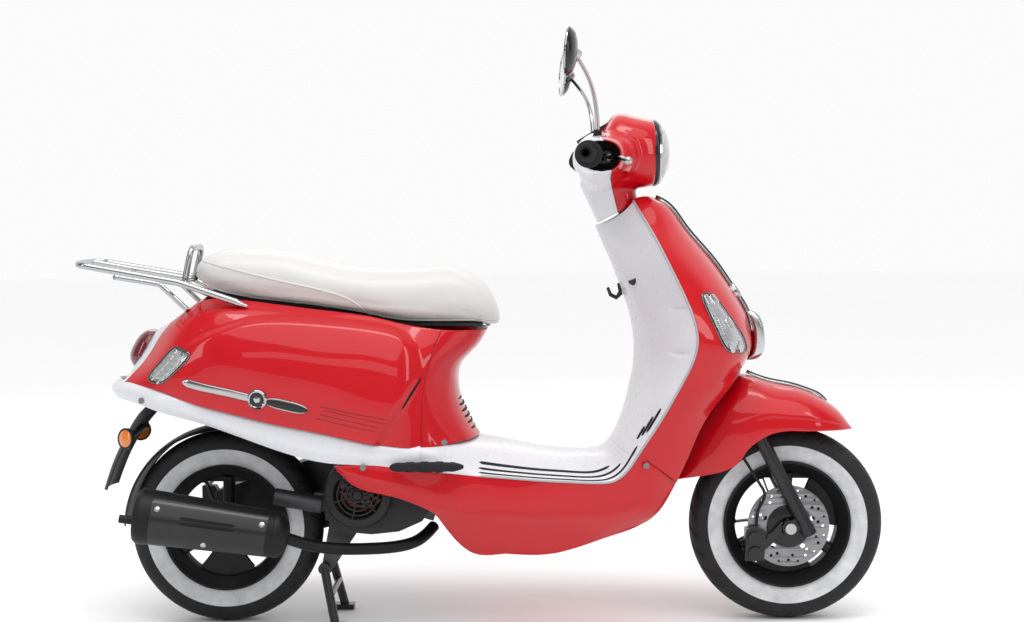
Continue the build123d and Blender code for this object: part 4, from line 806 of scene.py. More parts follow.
bodyTable = [
    [(13, 0, 655), (-8, 0, 620), (-41, 0, 584), (-53, 0, 545), (-44, 0, 490), (-6, 0, 420)],
    [(6, 60, 656), (-16, 62, 620), (-50, 64, 584), (-62, 66, 545), (-53, 68, 490), (-20, 74, 418)],
    [(-34, 104, 657), (-56, 108, 620), (-80, 112, 584), (-90, 118, 545), (-86, 126, 490), (-66, 136, 414)],
    [(-84, 119, 660), (-98, 134, 622), (-110, 146, 585), (-118, 155, 545), (-124, 165, 490),
     (-126, 176, 410)],
    [(-150, 122, 670), (-153, 152, 635), (-158, 170, 592), (-162, 179, 545), (-166, 184, 490),
     (-172, 186, 413)],
    [(-220, 124, 687), (-221, 160, 650), (-222, 179, 602), (-222, 187, 548), (-222, 190, 492),
     (-222, 187, 420)],
    [(-330, 126, 704), (-330, 162, 670), (-330, 184, 618), (-330, 192, 562), (-330, 192, 508),
     (-330, 186, 445)],
    [(-450, 124, 720), (-450, 160, 688), (-450, 183, 636), (-450, 191, 582), (-450, 190, 530),
     (-450, 184, 470)],
    [(-540, 112, 730), (-540, 148, 699), (-540, 173, 650), (-540, 183, 600), (-540, 182, 550),
     (-540, 178, 492)],
    [(-600, 97, 727), (-603, 130, 700), (-608, 156, 654), (-612, 166, 608), (-616, 169, 562),
     (-620, 167, 511)],
    [(-645, 84, 703), (-655, 106, 682), (-667, 126, 645), (-680, 139, 605), (-692, 142, 570),
     (-704, 138, 536)],
    [(-677, 74, 680), (-693, 77, 662), (-713, 80, 632), (-734, 80, 600), (-757, 78, 575), (-786, 72, 546)]]
coverRows = 3            # rows of the table up to the corner that belong to the front cover
bulgeLine = [(-640, 640), (-600, 662), (-570, 674), (-500, 694), (-407, 698), (-315, 691), (-245, 683),
             (-185, 670),
             (-149, 652), (-121, 624), (-110, 596), (-113, 566), (-132, 531), (-160, 489), (-188, 452),
             (-212, 410),
             (-240, 360)]
bulge = {"height": 12.0, "slope": 27.0}


def makeUnderSeatBody():
    half = surfaceThrough(rightSide(bodyTable), 240, 70)
    half = facedFrom(half, (-350, 0, 550))
    loop = np.concatenate([lineThrough(bulgeLine, 160), [(-700, 300), (-1000, 400), (-1000, 760)]])
    inside = depthInside(half[..., 0], half[..., 2], loop)
    rise = smoothStep(inside, 0, bulge["slope"]) * smoothStep(-half[..., 0], 120, 180)
    rise = rise * (1 - smoothStep(-half[..., 0], 560, 690))
    half = half + normalsOf(half) * (rise * bulge["height"])[..., None]
    knots = chordKnots(rightSide(bodyTable))
    cut = int(round(knots[coverRows] / knots[-1] * (len(half) - 1)))
    rear = half[cut:]
    cowl = withWall(newObject("sideCowlRight", rear, gridFaces(*rear.shape[:2])), 3.0)
    give(cowl, "frame", "red_paint", redPaint, "cowl_right")
    give(mirroredPiece(cowl, "sideCowlLeft"), "frame", "red_paint", redPaint, "cowl_left")
    front = half[:cut + 1]
    other = front[::-1] * (1, -1, 1)
    both = np.concatenate([other, front[1:]])
    both = facedFrom(both, (-200, 0, 550))
    cover = withWall(newObject("seatFrontCover", both, gridFaces(*both.shape[:2])), 3.0)
    give(cover, "frame", "red_paint", redPaint, "seat_front_cover")
    return half


def onBody(grid, x, z):
    # The grid's sideways place at each (x, z): the nearest vertex, corrected along its own tangent plane.
    flat = grid.reshape(-1, 3)
    normal = normalsOf(grid).reshape(-1, 3)
    x, z = np.broadcast_arrays(np.asarray(x, float), np.asarray(z, float))
    near = ((flat[None, :, 0] - x.reshape(-1, 1)) ** 2 + (flat[None, :, 2] - z.reshape(-1, 1)) ** 2
            + np.where(flat[None, :, 1] > 0, 1e9, 0)).argmin(1)
    at, face = flat[near], normal[near]
    side = np.where(np.abs(face[:, 1]) < 0.15, -0.15, face[:, 1])
    y = at[:, 1] - (face[:, 0] * (x.ravel() - at[:, 0]) + face[:, 2] * (z.ravel() - at[:, 2])) / side
    return np.stack([x.ravel(), y, z.ravel()], -1), face


def stripOnBody(name, grid, line, width, height, taper=0.1, count=70, lift=0.0):
    flat = lineThrough(line, count) if len(line) > 2 else np.linspace(*np.array(line, float), count)
    place, face = onBody(grid, flat[:, 0], flat[:, 1])
    place[:, 1] = np.convolve(np.pad(place[:, 1], 3, mode="edge"), np.ones(7) / 7, mode="valid")
    return ribbon(name, place + face * lift, face, width, height, taper)


# White band, badge, vents and grooves on the under-seat body

bandTable = [
    [(-129, 176, 416), (-129, 188, 404), (-129, 190, 388), (-129, 188, 362)],
    [(-215, 186, 418), (-215, 190, 404), (-215, 192, 390), (-215, 188, 373)],
    [(-247, 188, 424), (-248, 192, 411), (-252, 193, 396), (-256, 188, 376)],
    [(-322, 187, 442), (-322, 192, 424), (-322, 193, 402), (-322, 187, 380)],
    [(-440, 184, 467), (-432, 190, 447), (-424, 191, 425), (-416, 185, 402)],
    [(-581, 174, 501), (-570, 181, 483), (-556, 183, 463), (-540, 178, 446)],
    [(-640, 163, 516), (-634, 169, 503), (-626, 172, 487), (-616, 167, 470)],
    [(-702, 140, 532), (-702, 147, 520), (-702, 148, 505), (-698, 144, 489)],
    [(-755, 103, 543), (-761, 109, 532), (-762, 109, 518), (-755, 106, 504)],
    [(-796, 56, 547), (-808, 58, 536), (-809, 58, 522), (-800, 54, 508)],
    [(-815, 0, 548), (-829, 0, 537), (-830, 0, 522), (-820, 0, 508)]]


def makeSideBand():
    # A lip turns in behind the panel above, so no gap shows along the seam.
    table = [[(row[0][0], max(row[0][1] - 8, 0), row[0][2] + 4)] + row for row in bandTable]
    half = surfaceThrough(rightSide(table), 150, 26)
    both = np.concatenate([half, half[-2::-1] * (1, -1, 1)])
    band = panelPiece("sideBand", both, (-400, 0, 450), 3.0, 0.9)
    give(band, "frame", "pale_plastic", palePlastic, "side_trims")


badge = {"bar": [(-636, 556), (-584, 544), (-530, 533), (-484, 522)], "width": 17.0, "disc": (-472, 521),
         "discRadius": 21.0, "lozenge": [(-456, 517), (-420, 509), (-382, 500), (-364, 496)]}
grooves = [[(-332, 497), (-280, 484), (-202, 466)], [(-342, 488), (-288, 475), (-206, 456)],
           [(-350, 479), (-296, 466), (-212, 447)], [(-340, 505), (-280, 491), (-196, 475)]]
louvres = [((-150, 520), (-126, 560)), ((-158, 508), (-134, 548)), ((-166, 496), (-142, 536))]


def makeBadge(body):
    # A tapering metal bar, a round medallion and a black lozenge with a metal edge; no lettering.
    bar = stripOnBody("badgeBar", body, badge["bar"], badge["width"], 3.6, 0.1, lift=0.2)
    rim = stripOnBody("badgeRim", body, badge["lozenge"], 23.0, 3.0, 0.35, lift=0.2)
    centre, face = onBody(body, *badge["disc"])
    ring = turnedPiece("badgeRing", [(15.5, 6), (18, 7), (badge["discRadius"], 4.5),
                                     (badge["discRadius"], -3),
                                     (15.5, -3)], centre[0], face[0], 64, closed=True)
    star = turnedPiece("badgeStar", [(0, 6.8), (4, 6.4), (8, 5.4), (8, 4), (0, 4)], centre[0], face[0], 5, 20)
    black = stripOnBody("badgeLozenge", body, badge["lozenge"], 18.0, 4.4, 0.35, lift=0.6)
    disc = turnedPiece("badgeDisc", [(0, 5), (15, 5), (16, 3), (16, -2), (0, -2)], centre[0], face[0], 64)
    give(bothSides("badges", joined("badgeChrome", [bar, rim, ring, star])), "frame", "chrome", chromePlate)
    give(bothSides("badgeInlays", joined("badgeBlack", [black, disc])), "frame", "black_plastic", glossBlack)


def makeBodyDetails(body):
    # The grooves are low strips in the darker red: painted shade in the pressed lines.
    lines = [stripOnBody("groove", body, line, 2.6, 0.5, 0.05, lift=-0.1) for line in grooves]
    give(bothSides("bodyGrooves", joined("grooves", lines)), "frame", "red_paint", paintedShadeRed)
    # The louvres are near-black strips: painted shade in the openings.
    slots = [stripOnBody("louvre", body, line, 5.0, 0.6, 0.2, 30) for line in louvres]
    give(bothSides("louvres", joined("louvre", slots)), "frame", "black_plastic", darkHollow)
    # The corner seam is a thin darker red strip: painted shade in the joint between front cover and cowl.
    seam = stripOnBody("cornerSeam", body, [(-86, 656), (-99, 622), (-112, 585), (-120, 545), (-126, 490),
                                            (-127, 414)], 2.0, 0.4, 0.02)
    give(bothSides("cornerSeams", seam), "frame", "red_paint", paintedShadeRed)
    # Six curved vent slots on the front, near-black strips of painted shade.
    vents = []
    for k in range(6):
        z = 437 + 13 * k
        x = -12 - (z - 420) * 0.46
        path = np.stack([np.full(30, x), np.linspace(-52, 52, 30), np.full(30, z)], -1)
        path[:, 0] -= (np.abs(path[:, 1]) / 60) ** 2 * 7
        vents.append(ribbon("vent", path + (1.5, 0, 0), np.tile((0.9, 0, 0.42), (30, 1)), 5.0, 1.0, 0.12))
    give(joined("frontVents", vents), "frame", "black_plastic", darkHollow)


# Tail: red deck, lamp and its pale surround, indicators

deckBackTable = [
    [(-606, 96, 722), (-603, 52, 733), (-600, 0, 736)], [(-640, 85, 704), (-637, 46, 712), (-634, 0, 714)],
    [(-670, 76, 683), (-668, 42, 688), (-667, 0, 690)], [(-688, 76, 668), (-688, 42, 672), (-688, 0, 674)]]
surroundTable = [
    [(-688, 77, 668), (-690, 48, 673), (-692, 0, 675)], [(-706, 79, 645), (-716, 56, 652), (-722, 0, 656)],
    [(-724, 80, 614), (-738, 60, 618), (-745, 0, 620)], [(-742, 79, 590), (-758, 58, 590), (-766, 0, 590)],
    [(-760, 77, 566), (-776, 54, 563), (-784, 0, 562)], [(-782, 72, 546), (-796, 50, 544), (-802, 0, 544)]]
tailLens = {"centre": (-745, 0, 612), "half": (58, 50), "rise": 36.0}


def makeTail():
    deck = panelPiece("tailDeck", surfaceThrough(wholeWidth(deckBackTable), 40, 61), (-600, 0, 640))
    give(deck, "frame", "red_paint", redPaint, "tail_cover")
    surround = panelPiece("tailSurround", surfaceThrough(wholeWidth(surroundTable), 50, 61), (-650, 0, 580))
    give(surround, "frame", "pale_plastic", palePlastic)
    # The lens is a squared dome standing out from the sloping surround.
    slope = np.array([-0.50, 0, -0.866])
    outward = np.array([-0.866, 0, 0.50])
    rings = []
    turn = np.linspace(0, 2 * np.pi, 64, endpoint=False)
    c, s = np.cos(turn), np.sin(turn)
    for t in np.linspace(0, 1, 24):
        spread = (1 - t ** 2.6) ** (1 / 2.6)
        y = np.sign(c) * np.abs(c) ** 0.75 * tailLens["half"][0] * spread
        d = np.sign(s) * np.abs(s) ** 0.75 * tailLens["half"][1] * spread
        rings.append(np.array(tailLens["centre"]) - outward * 12 + outward * t * tailLens["rise"] * 1.3
                     + d[:, None] * slope + y[:, None] * sideways)
    give(closedPiece("tailLens", np.array(rings)), "frame", "red_lens", redLens, "tail_lamp")
    rim = np.array(rings[4]) + outward * 1.0
    rim = np.concatenate([rim, rim[:2]])
    give(rodAlong("tailLensRim", rim, 3.0, 10), "frame", "chrome", chromePlate)


# Each row of a lens outline is (x, z) as seen from the side; its y comes from the panel under it.
lensRows = {
    "front": [[(467, 738), (484, 739), (499, 736)], [(481, 702), (507, 702), (524, 703)],
              [(496, 668), (527, 668), (549, 668)], [(512, 634), (543, 634), (571, 635)],
              [(525, 611), (556, 604), (583, 602)]],
    "rear": [[(-655, 633), (-635, 627), (-612, 616)], [(-675, 615), (-653, 605), (-631, 595)],
             [(-693, 595), (-672, 585), (-651, 577)], [(-711, 576), (-691, 568), (-671, 559)],
             [(-724, 555), (-711, 550), (-694, 547)]]}
lensBuild = {"corner": 7.0, "dome": 5.0, "bezel": 1.8, "sink": 6.0}


def panelTree(*names):
    meshes = [bpy.data.objects[name].data for name in names]
    return BVHTree.FromPolygons([v.co.copy() for m in meshes for v in m.vertices],
                                [tuple(p.vertices) for m in meshes for p in m.polygons])


def onPanel(tree, places):
    made = []
    for x, z in places:
        start = Vector((x * mm, -0.6, z * mm))
        hit = tree.ray_cast(start, Vector((0, 1, 0)))[0]
        if hit is None:
            hit = tree.find_nearest(Vector((x * mm, -0.13, z * mm)))[0]
        made.append(np.array(hit) / mm)
    return np.array(made)


def lensGrid(kind, shrink, count=14):
    # A squircle laid over the four-sided outline, ring by ring from the middle.
    tree = panelTree("frontShield" if kind == "front" else "sideCowlRight")
    rows = np.array(lensRows[kind], float)
    flat = surfaceThrough(np.dstack([rows, np.zeros(rows.shape[:2])]), 80, 60)
    knots = np.linspace(-1, 1, 9)
    drape = np.array([[onPanel(tree, [along(flat, np.array([(u + 1) * 39.5]),
                                            np.array([(v + 1) * 29.5]))[0][:2]])[0]
                       for v in knots] for u in knots])
    surface = surfaceThrough(drape, 80, 60)
    rings = []
    turn = np.linspace(0, 2 * np.pi, 120, endpoint=False)
    c, s = squared(turn, 2 / lensBuild["corner"])
    for share in np.linspace(0, 1, count):
        u, v = 0.5 + 0.5 * c * share * shrink, 0.5 + 0.5 * s * share * shrink
        rings.append(along(surface, u * 79, v * 59))
    return np.array(rings), surface


lensPockets = {"front": {"columns": ((0.3, 16), (0.66, 20)), "steps": 3, "length": 34.0},
               "rear": {"columns": ((0.30, 13), (0.68, 15)), "steps": 6, "length": 14.0}}


def makeIndicator(kind):
    rings, surface = lensGrid(kind, 0.95)
    outward = normalsOf(surface).reshape(-1, 3).mean(0)
    outward /= np.linalg.norm(outward)
    if outward[1] > 0:
        outward = -outward
    share = np.linspace(0, 1, len(rings))
    rise = lensBuild["dome"] * (1 - share ** 4) + 0.8
    outer = rings + outward * rise[:, None, None]
    flat = rings[-1:] - outward * lensBuild["sink"]
    middle = rings[0].mean(0)
    back = np.array([middle + (flat[0] - middle) * t - outward * (lensBuild["sink"] - 3) * (1 - t)
                     for t in (1, 0.5)])
    lens = closedPiece(kind + "Lens", np.concatenate([outer[1:], back]))
    sunk = outer[1:] - outward * (rise[1:, None, None] * 0.75 + 0.6)
    tray = closedPiece(kind + "Tray", np.concatenate([sunk, back - outward * 2]))
    rim = rings[-1]
    rim = np.concatenate([rim, rim[:1]])
    edge = rodAlong(kind + "Rim", rim + outward * 1.2, lensBuild["bezel"], 10)
    inner = lensGrid(kind, 0.88, 2)[0]
    loop = np.concatenate([inner[-1], inner[-1][:1]])
    seal = rodAlong(kind + "Seal", loop + outward * 2.6, 1.1, 8)
    pockets = []
    plan = lensPockets[kind]
    for column, size in plan["columns"]:
        for k in range(plan["steps"]):
            u = 0.12 + 0.76 * k / (plan["steps"] - 1)
            at = along(surface, np.array([u * 79]), np.array([column * 59]))[0]
            ahead = along(surface, np.array([u * 79 + 4]), np.array([column * 59]))[0] - at
            ahead /= np.linalg.norm(ahead)
            path = np.array([at + ahead * t * plan["length"] / 2 + outward * 1.6
                             for t in np.linspace(-0.78, 0.78, 10)])
            pockets.append(ribbon("pocket", path, np.tile(outward, (10, 1)), size, 2.6, 0.2, 9))
    return lens, tray, edge, seal, pockets


reflector = {"place": (-786, -72, 421), "way": (-0.55, -0.83, 0.1),
             "stay": ((-786, -68, 421), (-760, -20, 440))}


def makeIndicators():
    parts = [makeIndicator(kind) for kind in ("front", "rear")]
    lenses, trays, edges, seals, pockets = zip(*parts)
    give(bothSides("indicatorTrays", joined("trays", trays + tuple(sum(pockets, [])))), "frame", "chrome",
         silverPocket)
    give(bothSides("indicatorBezels", joined("bezels", edges)), "frame", "chrome", darkChrome)
    give(bothSides("indicatorSeals", joined("seals", seals)), "frame", "black_plastic", glossBlack)
    give(bothSides("indicatorLenses", joined("lenses", lenses)), "frame", "clear_lens", clearLens,
         "side_lamps")
    place, way = reflector["place"], reflector["way"]
    disc = turnedPiece("reflector", [(0, 4), (17, 3.4), (20, 1), (20, -6), (0, -6)], place, way, 48)
    rim = turnedPiece("reflectorRim", [(19, -7), (23, -6), (23.5, 2), (20, 3)], place, way, 48, closed=True)
    stay = rodAlong("reflectorStay", np.linspace(*reflector["stay"], 10), 7, 12)
    give(bothSides("reflectors", disc), "frame", "lamp_plastic", amberLens)
    give(bothSides("reflectorRims", joined("reflectorRim", [rim, stay])), "frame", "black_plastic",
         blackPlastic)


# Nose strip

def makeNoseTrim():
    crest = np.array(shieldTable)[:, 3].astype(float)
    line = lineThrough(crest, 160)[:134]
    upward = np.cross((0, 1, 0), np.gradient(line, axis=0))
    upward *= np.sign(upward[:, :1])
    upward /= np.linalg.norm(upward, axis=1, keepdims=True)
    line = line[4:] + upward[4:] * -1.2
    upward = upward[4:]
    count = len(line)
    width = np.interp(np.linspace(0, 1, count), (0, 0.1, 0.5, 1), (20, 26, 34, 44))
    chrome = ribbon("noseStripChrome", line, upward, width, 5.0, 0.06, 17)
    give(chrome, "frame", "chrome", chromePlate)
    black = ribbon("noseStrip", line + upward * 3.0, upward, width * 0.66, 5.5, 0.06, 17)
    give(black, "frame", "black_plastic", glossBlack, "nose_trim")
    stations = lineThrough([(692, 596, 10), (684, 612, 18), (668, 623, 22), (640, 629, 23), (612, 629, 22),
                            (592, 624, 19), (582, 612, 12), (579, 602, 5)], 60)
    turn = np.linspace(0, 2 * np.pi, 48, endpoint=False)
    c, s = squared(turn, 0.7)
    block = np.stack([stations[:, 1:2] - 14 + c * 14, s * stations[:, 2:3],
                      np.tile(stations[:, :1], (1, 48))], -1)
    give(closedPiece("noseBadge", block), "frame", "chrome", silverPocket)
    k = int(count * 0.72)
    oval = turnedPiece("noseOval", [(0, 6), (14, 5.2), (20, 3), (22, 0), (22, -8), (0, -8)],
                       line[k] + upward[k] * 5,
                       upward[k], 64)
    give(oval, "frame", "chrome", chromePlate)


# The seat

seatStations = [(40, 694, 668, 52), (36, 706, 665, 66), (28, 722, 664, 84), (5, 752, 666, 103),
                (-29, 778, 668, 116),
                (-58, 788, 668, 122), (-140, 788, 669, 128), (-189, 787, 674, 130), (-261, 790, 690, 133),
                (-334, 802, 702, 135), (-401, 820, 711, 136), (-478, 830, 720, 134), (-546, 833, 732, 128),
                (-594, 829, 750, 114), (-616, 817, 768, 92), (-624, 806, 782, 70)]
seat = {"roundness": 2.9, "tuck": 0.10, "remesh": 5.0, "pressure": 4.0, "cap": 4.5, "frames": 20, "fill": 0.8}
seatSeam = [(-600, 812), (-560, 802), (-506, 788), (-413, 765), (-319, 742), (-273, 722), (-250, 702),
            (-236, 686)]


def seatRings(count=200, sides=128):
    stations = lineThrough([(x, top, bottom, half) for x, top, bottom, half in seatStations], count)
    turn = np.linspace(0, 2 * np.pi, sides, endpoint=False)
    c, s = np.cos(turn), np.sin(turn)
    power = 2 / seat["roundness"]
    y = np.sign(c) * np.abs(c) ** power
    z = np.sign(s) * np.abs(s) ** power
    z = np.where(z < 0, np.maximum(z, -0.93), z)
    middle, tall = (stations[:, 1] + stations[:, 2]) / 2, (stations[:, 1] - stations[:, 2]) / 2
    rings = np.zeros((count, sides, 3))
    rings[..., 0] = stations[:, None, 0]
    rings[..., 1] = y * stations[:, 3:4] * (1 - seat["tuck"] * smoothStep(-z, 0.0, 1.0))
    rings[..., 2] = middle[:, None] + z * tall[:, None]
    return rings


def cushioned(piece):
    # Voxel remesh, then cloth under pressure with the lower edge held; the movement is capped.
    remesh = piece.modifiers.new("remesh", "REMESH")
    remesh.mode, remesh.voxel_size = "VOXEL", seat["remesh"] * mm
    settled(piece)
    rest = np.zeros(len(piece.data.vertices) * 3)
    piece.data.vertices.foreach_get("co", rest)
    rest = rest.reshape(-1, 3)
    held = piece.vertex_groups.new(name="held")
    bottom = np.interp(rest[:, 0] / mm, [s[0] for s in seatStations[::-1]],
                       [s[2] for s in seatStations[::-1]])
    pins = np.nonzero(rest[:, 2] / mm < bottom + 12)[0]
    held.add([int(i) for i in pins], 1.0, "REPLACE")
    cloth = piece.modifiers.new("cloth", "CLOTH")
    cloth.settings.use_pressure = True
    cloth.settings.uniform_pressure_force = seat["pressure"]
    cloth.settings.vertex_group_mass = "held"
    cloth.settings.effector_weights.gravity = 0
    cloth.settings.quality = 6
    cloth.collision_settings.use_collision = False
    cloth.point_cache.frame_start, cloth.point_cache.frame_end = 1, seat["frames"]
    scene = bpy.context.scene
    for step in range(1, seat["frames"] + 1):
        scene.frame_set(step)
    made = settledPlaces(piece)
    piece.modifiers.clear()
    move = made - rest
    far = np.linalg.norm(move, axis=1, keepdims=True)
    cap = seat["cap"] * mm
    rest = rest + move * np.minimum(1, cap / np.maximum(far, 1e-9))
    scene.frame_set(1)
    piece.data.vertices.foreach_set("co", rest.ravel())
    smooth = piece.modifiers.new("smooth", "SMOOTH")
    smooth.factor, smooth.iterations = 0.5, 6
    divide = piece.modifiers.new("divide", "SUBSURF")
    divide.levels = divide.render_levels = 1
    return smoothed(settled(piece), 60)


def settledPlaces(piece):
    graph = bpy.context.evaluated_depsgraph_get()
    mesh = piece.evaluated_get(graph).data
    places = np.zeros(len(mesh.vertices) * 3)
    mesh.vertices.foreach_get("co", places)
    return places.reshape(-1, 3)


def makeSeat():
    rings = seatRings()
    cushion = cushioned(closedPiece("seatCushion", rings))
    give(cushion, "seat", "seat_vinyl", seatVinyl, "seat_cushion")
    tree = BVHTree.FromPolygons([v.co.copy() for v in cushion.data.vertices],
                                [tuple(p.vertices) for p in cushion.data.polygons])
    line = lineThrough(seatSeam, 150)
    path = []
    for x, z in line:
        hit = tree.ray_cast(Vector((x * mm, -0.4, z * mm)), Vector((0, 1, 0)))[0]
        if hit is not None:
            path.append(np.array(hit) / mm)
    path = np.array(path)
    path[:, 1] = np.convolve(np.pad(path[:, 1], 4, mode="edge"), np.ones(9) / 9, mode="valid")
    seam = rodAlong("seatPiping", path, 2.6, 10)
    edge = np.array([r[np.argmin(np.abs(r[:, 2] - (r[:, 2].min() + 7)) + (r[:, 1] > 0) * 1e3)]
                     for r in rings[6:-4]])
    low = rodAlong("seatLowerPiping", edge + (0, -0.5, 0), 2.4, 10)
    give(bothSides("seatPipings", joined("seatPiping", [seam, low])), "seat", "seat_vinyl", seatVinyl)


# Wheels

def tyreProfile():
    outer = lineThrough([(139, 33), (160, 40), (182, 44.6), (197, 41), (206, 33), (212, 20), (215, 0)], 40)
    inner = lineThrough([(139, 26), (150, 33), (180, 38), (200, 25), (206, 0)], 16)
    return np.concatenate([outer, outer[-2::-1] * (1, -1)]), np.concatenate([inner, inner[-2::-1] * (1, -1)])


tread = {"depth": 3.2, "grooves": 30, "lean": 0.16}


def makeTyre(name, centre, body, material, node):
    outer, inner = tyreProfile()
    around = 900
    turn = np.linspace(0, 2 * np.pi, around, endpoint=False)[:, None]
    radius = np.tile(outer[:, 0], (around, 1))
    y = np.tile(outer[:, 1], (around, 1))
    # Curved grooves run from near the middle out over each shoulder, leaning ahead as they go.
    across = np.abs(y) / 44.0
    lean = tread["lean"] * across ** 1.5 * np.sign(y)
    phase = (turn + lean) * tread["grooves"] / (2 * np.pi) + (y > 0) * 0.5
    away = np.abs(phase - np.round(phase)) * 2 * np.pi / tread["grooves"] * 210
    band = smoothStep(across, 0.10, 0.18) * (1 - smoothStep(-radius, -200, -193))
    cut = (1 - smoothStep(away, 1.7, 3.0)) * band * tread["depth"]
    cut = cut + (1 - smoothStep(np.abs(y), 1.6, 2.8)) * tread["depth"] * (radius > 205)
    # Two raised beads frame the pale band.
    for bead in (140.5, 178.5):
        cut = cut - np.exp(-((radius - bead) / 1.1) ** 2) * 0.7
    radius = radius - cut * (radius > 190)         # the crown is cut inwards, the walls sideways
    y = y - np.sign(y) * cut * (radius <= 190) * 0.8
    shell = np.stack([centre[0] + radius * np.cos(turn), y, centre[2] + radius * np.sin(turn)], -1)
    innerGrid = np.stack([centre[0] + inner[:, 0] * np.cos(turn), np.tile(inner[:, 1], (around, 1)),
                          centre[2] + inner[:, 0] * np.sin(turn)], -1)
    whole = np.concatenate([shell, innerGrid[:, ::-1]], axis=1)
    piece = newObject(name, whole, gridFaces(around, whole.shape[1], aroundRows=True, aroundColumns=True))
    smoothed(sealed(piece), 40)
    give(piece, body, "tyre_rubber", material, node)


rim = {"windows": (28, 148, 268), "span": 31, "inner": 54.0, "outer": 112.0}


def windowOutline(centre, angle):
    # A sector between two radii, narrower at its inner end.
    span = math.radians(rim["span"])
    turn = math.radians(angle)
    points = []
    for radius, side in ((rim["outer"], -1), (rim["outer"], 1), (rim["inner"] + 12, 1),
                         (rim["inner"] + 12, -1)):
        shrink = 1.0 if radius > 90 else 0.86
        points.append((radius, side * span * shrink))
    flat = []
    for k, (radius, at) in enumerate(points):
        nextRadius, nextAt = points[(k + 1) % 4]
        for t in np.linspace(0.06, 0.94, 24):
            r, a = radius + (nextRadius - radius) * t, at + (nextAt - at) * t + turn
            flat.append((centre[0] + r * math.cos(a), centre[2] + r * math.sin(a)))
    return flat


def makeRim(name, centre, body, node):
    axle = (centre[0], 0, centre[2])
    barrel = turnedPiece("barrel", [(136, 40), (141, 41), (141, 36), (136, 33), (128, 28), (122, 20),
                                    (119, 8), (119, -8),
                                    (122, -20), (128, -28), (136, -33), (141, -36), (141, -41), (136, -40),
                                    (130, -33),
                                    (122, -26), (114, -18), (112, 0), (114, 18), (122, 26), (130, 33)],
                         axle, (0, 1, 0), 128, closed=True)
    outline = circle((centre[0], centre[2]), 118, 128)
    holes = [windowOutline(centre, a) for a in rim["windows"]]
    face = platePiece("face", [outline] + holes, 22, 3.0, 0.0)
    hub = turnedPiece("hub", [(12, 38), (24, 38), (30, 34), (33, 18), (44, 12), (48, 11), (48, -11),
                              (44, -12), (33, -18),
                              (30, -34), (24, -38), (12, -38)], axle, (0, 1, 0), 64, closed=True)
    ribs = []
    for a in rim["windows"]:
        mid = math.radians(a + 60)
        for side in (-1, 1):
            inner = np.array([centre[0] + 34 * math.cos(mid), side * 14, centre[2] + 34 * math.sin(mid)])
            outer = np.array([centre[0] + 112 * math.cos(mid), side * 14, centre[2] + 112 * math.sin(mid)])
            ribs.append(rodAlong("rib", np.linspace(inner, outer, 20), np.linspace(9, 12, 20), 16))
    whole = joined(name, [barrel, face, hub] + ribs)
    give(whole, body, "black_alloy", blackAlloy, node)


def makeDisc():
    at = (675, 215)
    rows = []
    for k in range(12):
        a = 2 * math.pi * k / 12
        for radius, shift, size in ((76, 0, 3.4), (66, 0.14, 3.4), (81, 0.26, 2.6)):
            rows.append(circle((at[0] + radius * math.cos(a + shift), at[1] + radius * math.sin(a + shift)),
                               size, 12))
    for k in range(5):
        a = 2 * math.pi * k / 5 + 0.3
        rows.append(circle((at[0] + 55 * math.cos(a), at[1] + 55 * math.sin(a)), 5.5, 16))
    plate = platePiece("brakeDisc", [circle(at, 90, 128), circle(at, 47, 96)] + rows, 4.0, 0.5, -54.5)
    give(plate, "front_wheel", "steel", discSteel, "brake_disc")
    carrier = turnedPiece("discCarrier", [(20, -58), (46, -57.5), (49, -56), (49, -52), (40, -48), (36, -38),
                                          (20, -38)],
                          (675, 0, 215), (0, 1, 0), 64, closed=True)
    give(carrier, "front_wheel", "black_metal", blackEnamel)


# Handlebar housing

nacelleRings = [(212, 1030, 22, 40), (224, 1025, 44, 64), (245, 1018, 66, 88), (270, 1022, 74, 102),
                (296, 1041, 84, 104), (330, 1043, 81, 96), (362, 1040, 76, 85), (386, 1040, 71, 73)]
nacelleArms = [(60, 285, 72, 1035, 54), (110, 274, 66, 1032, 49), (150, 266, 58, 1030, 43),
               (200, 262, 49, 1029, 39),
               (229, 260, 42, 1028, 35)]
nacelle = {"remesh": 3.0, "wall": 2.5, "seamX": 259.0, "seamZ": 1085.0, "seamSlope": 0.25, "armEnd": 227.0,
           "neckFoot": 788.0, "plug": 187.0}


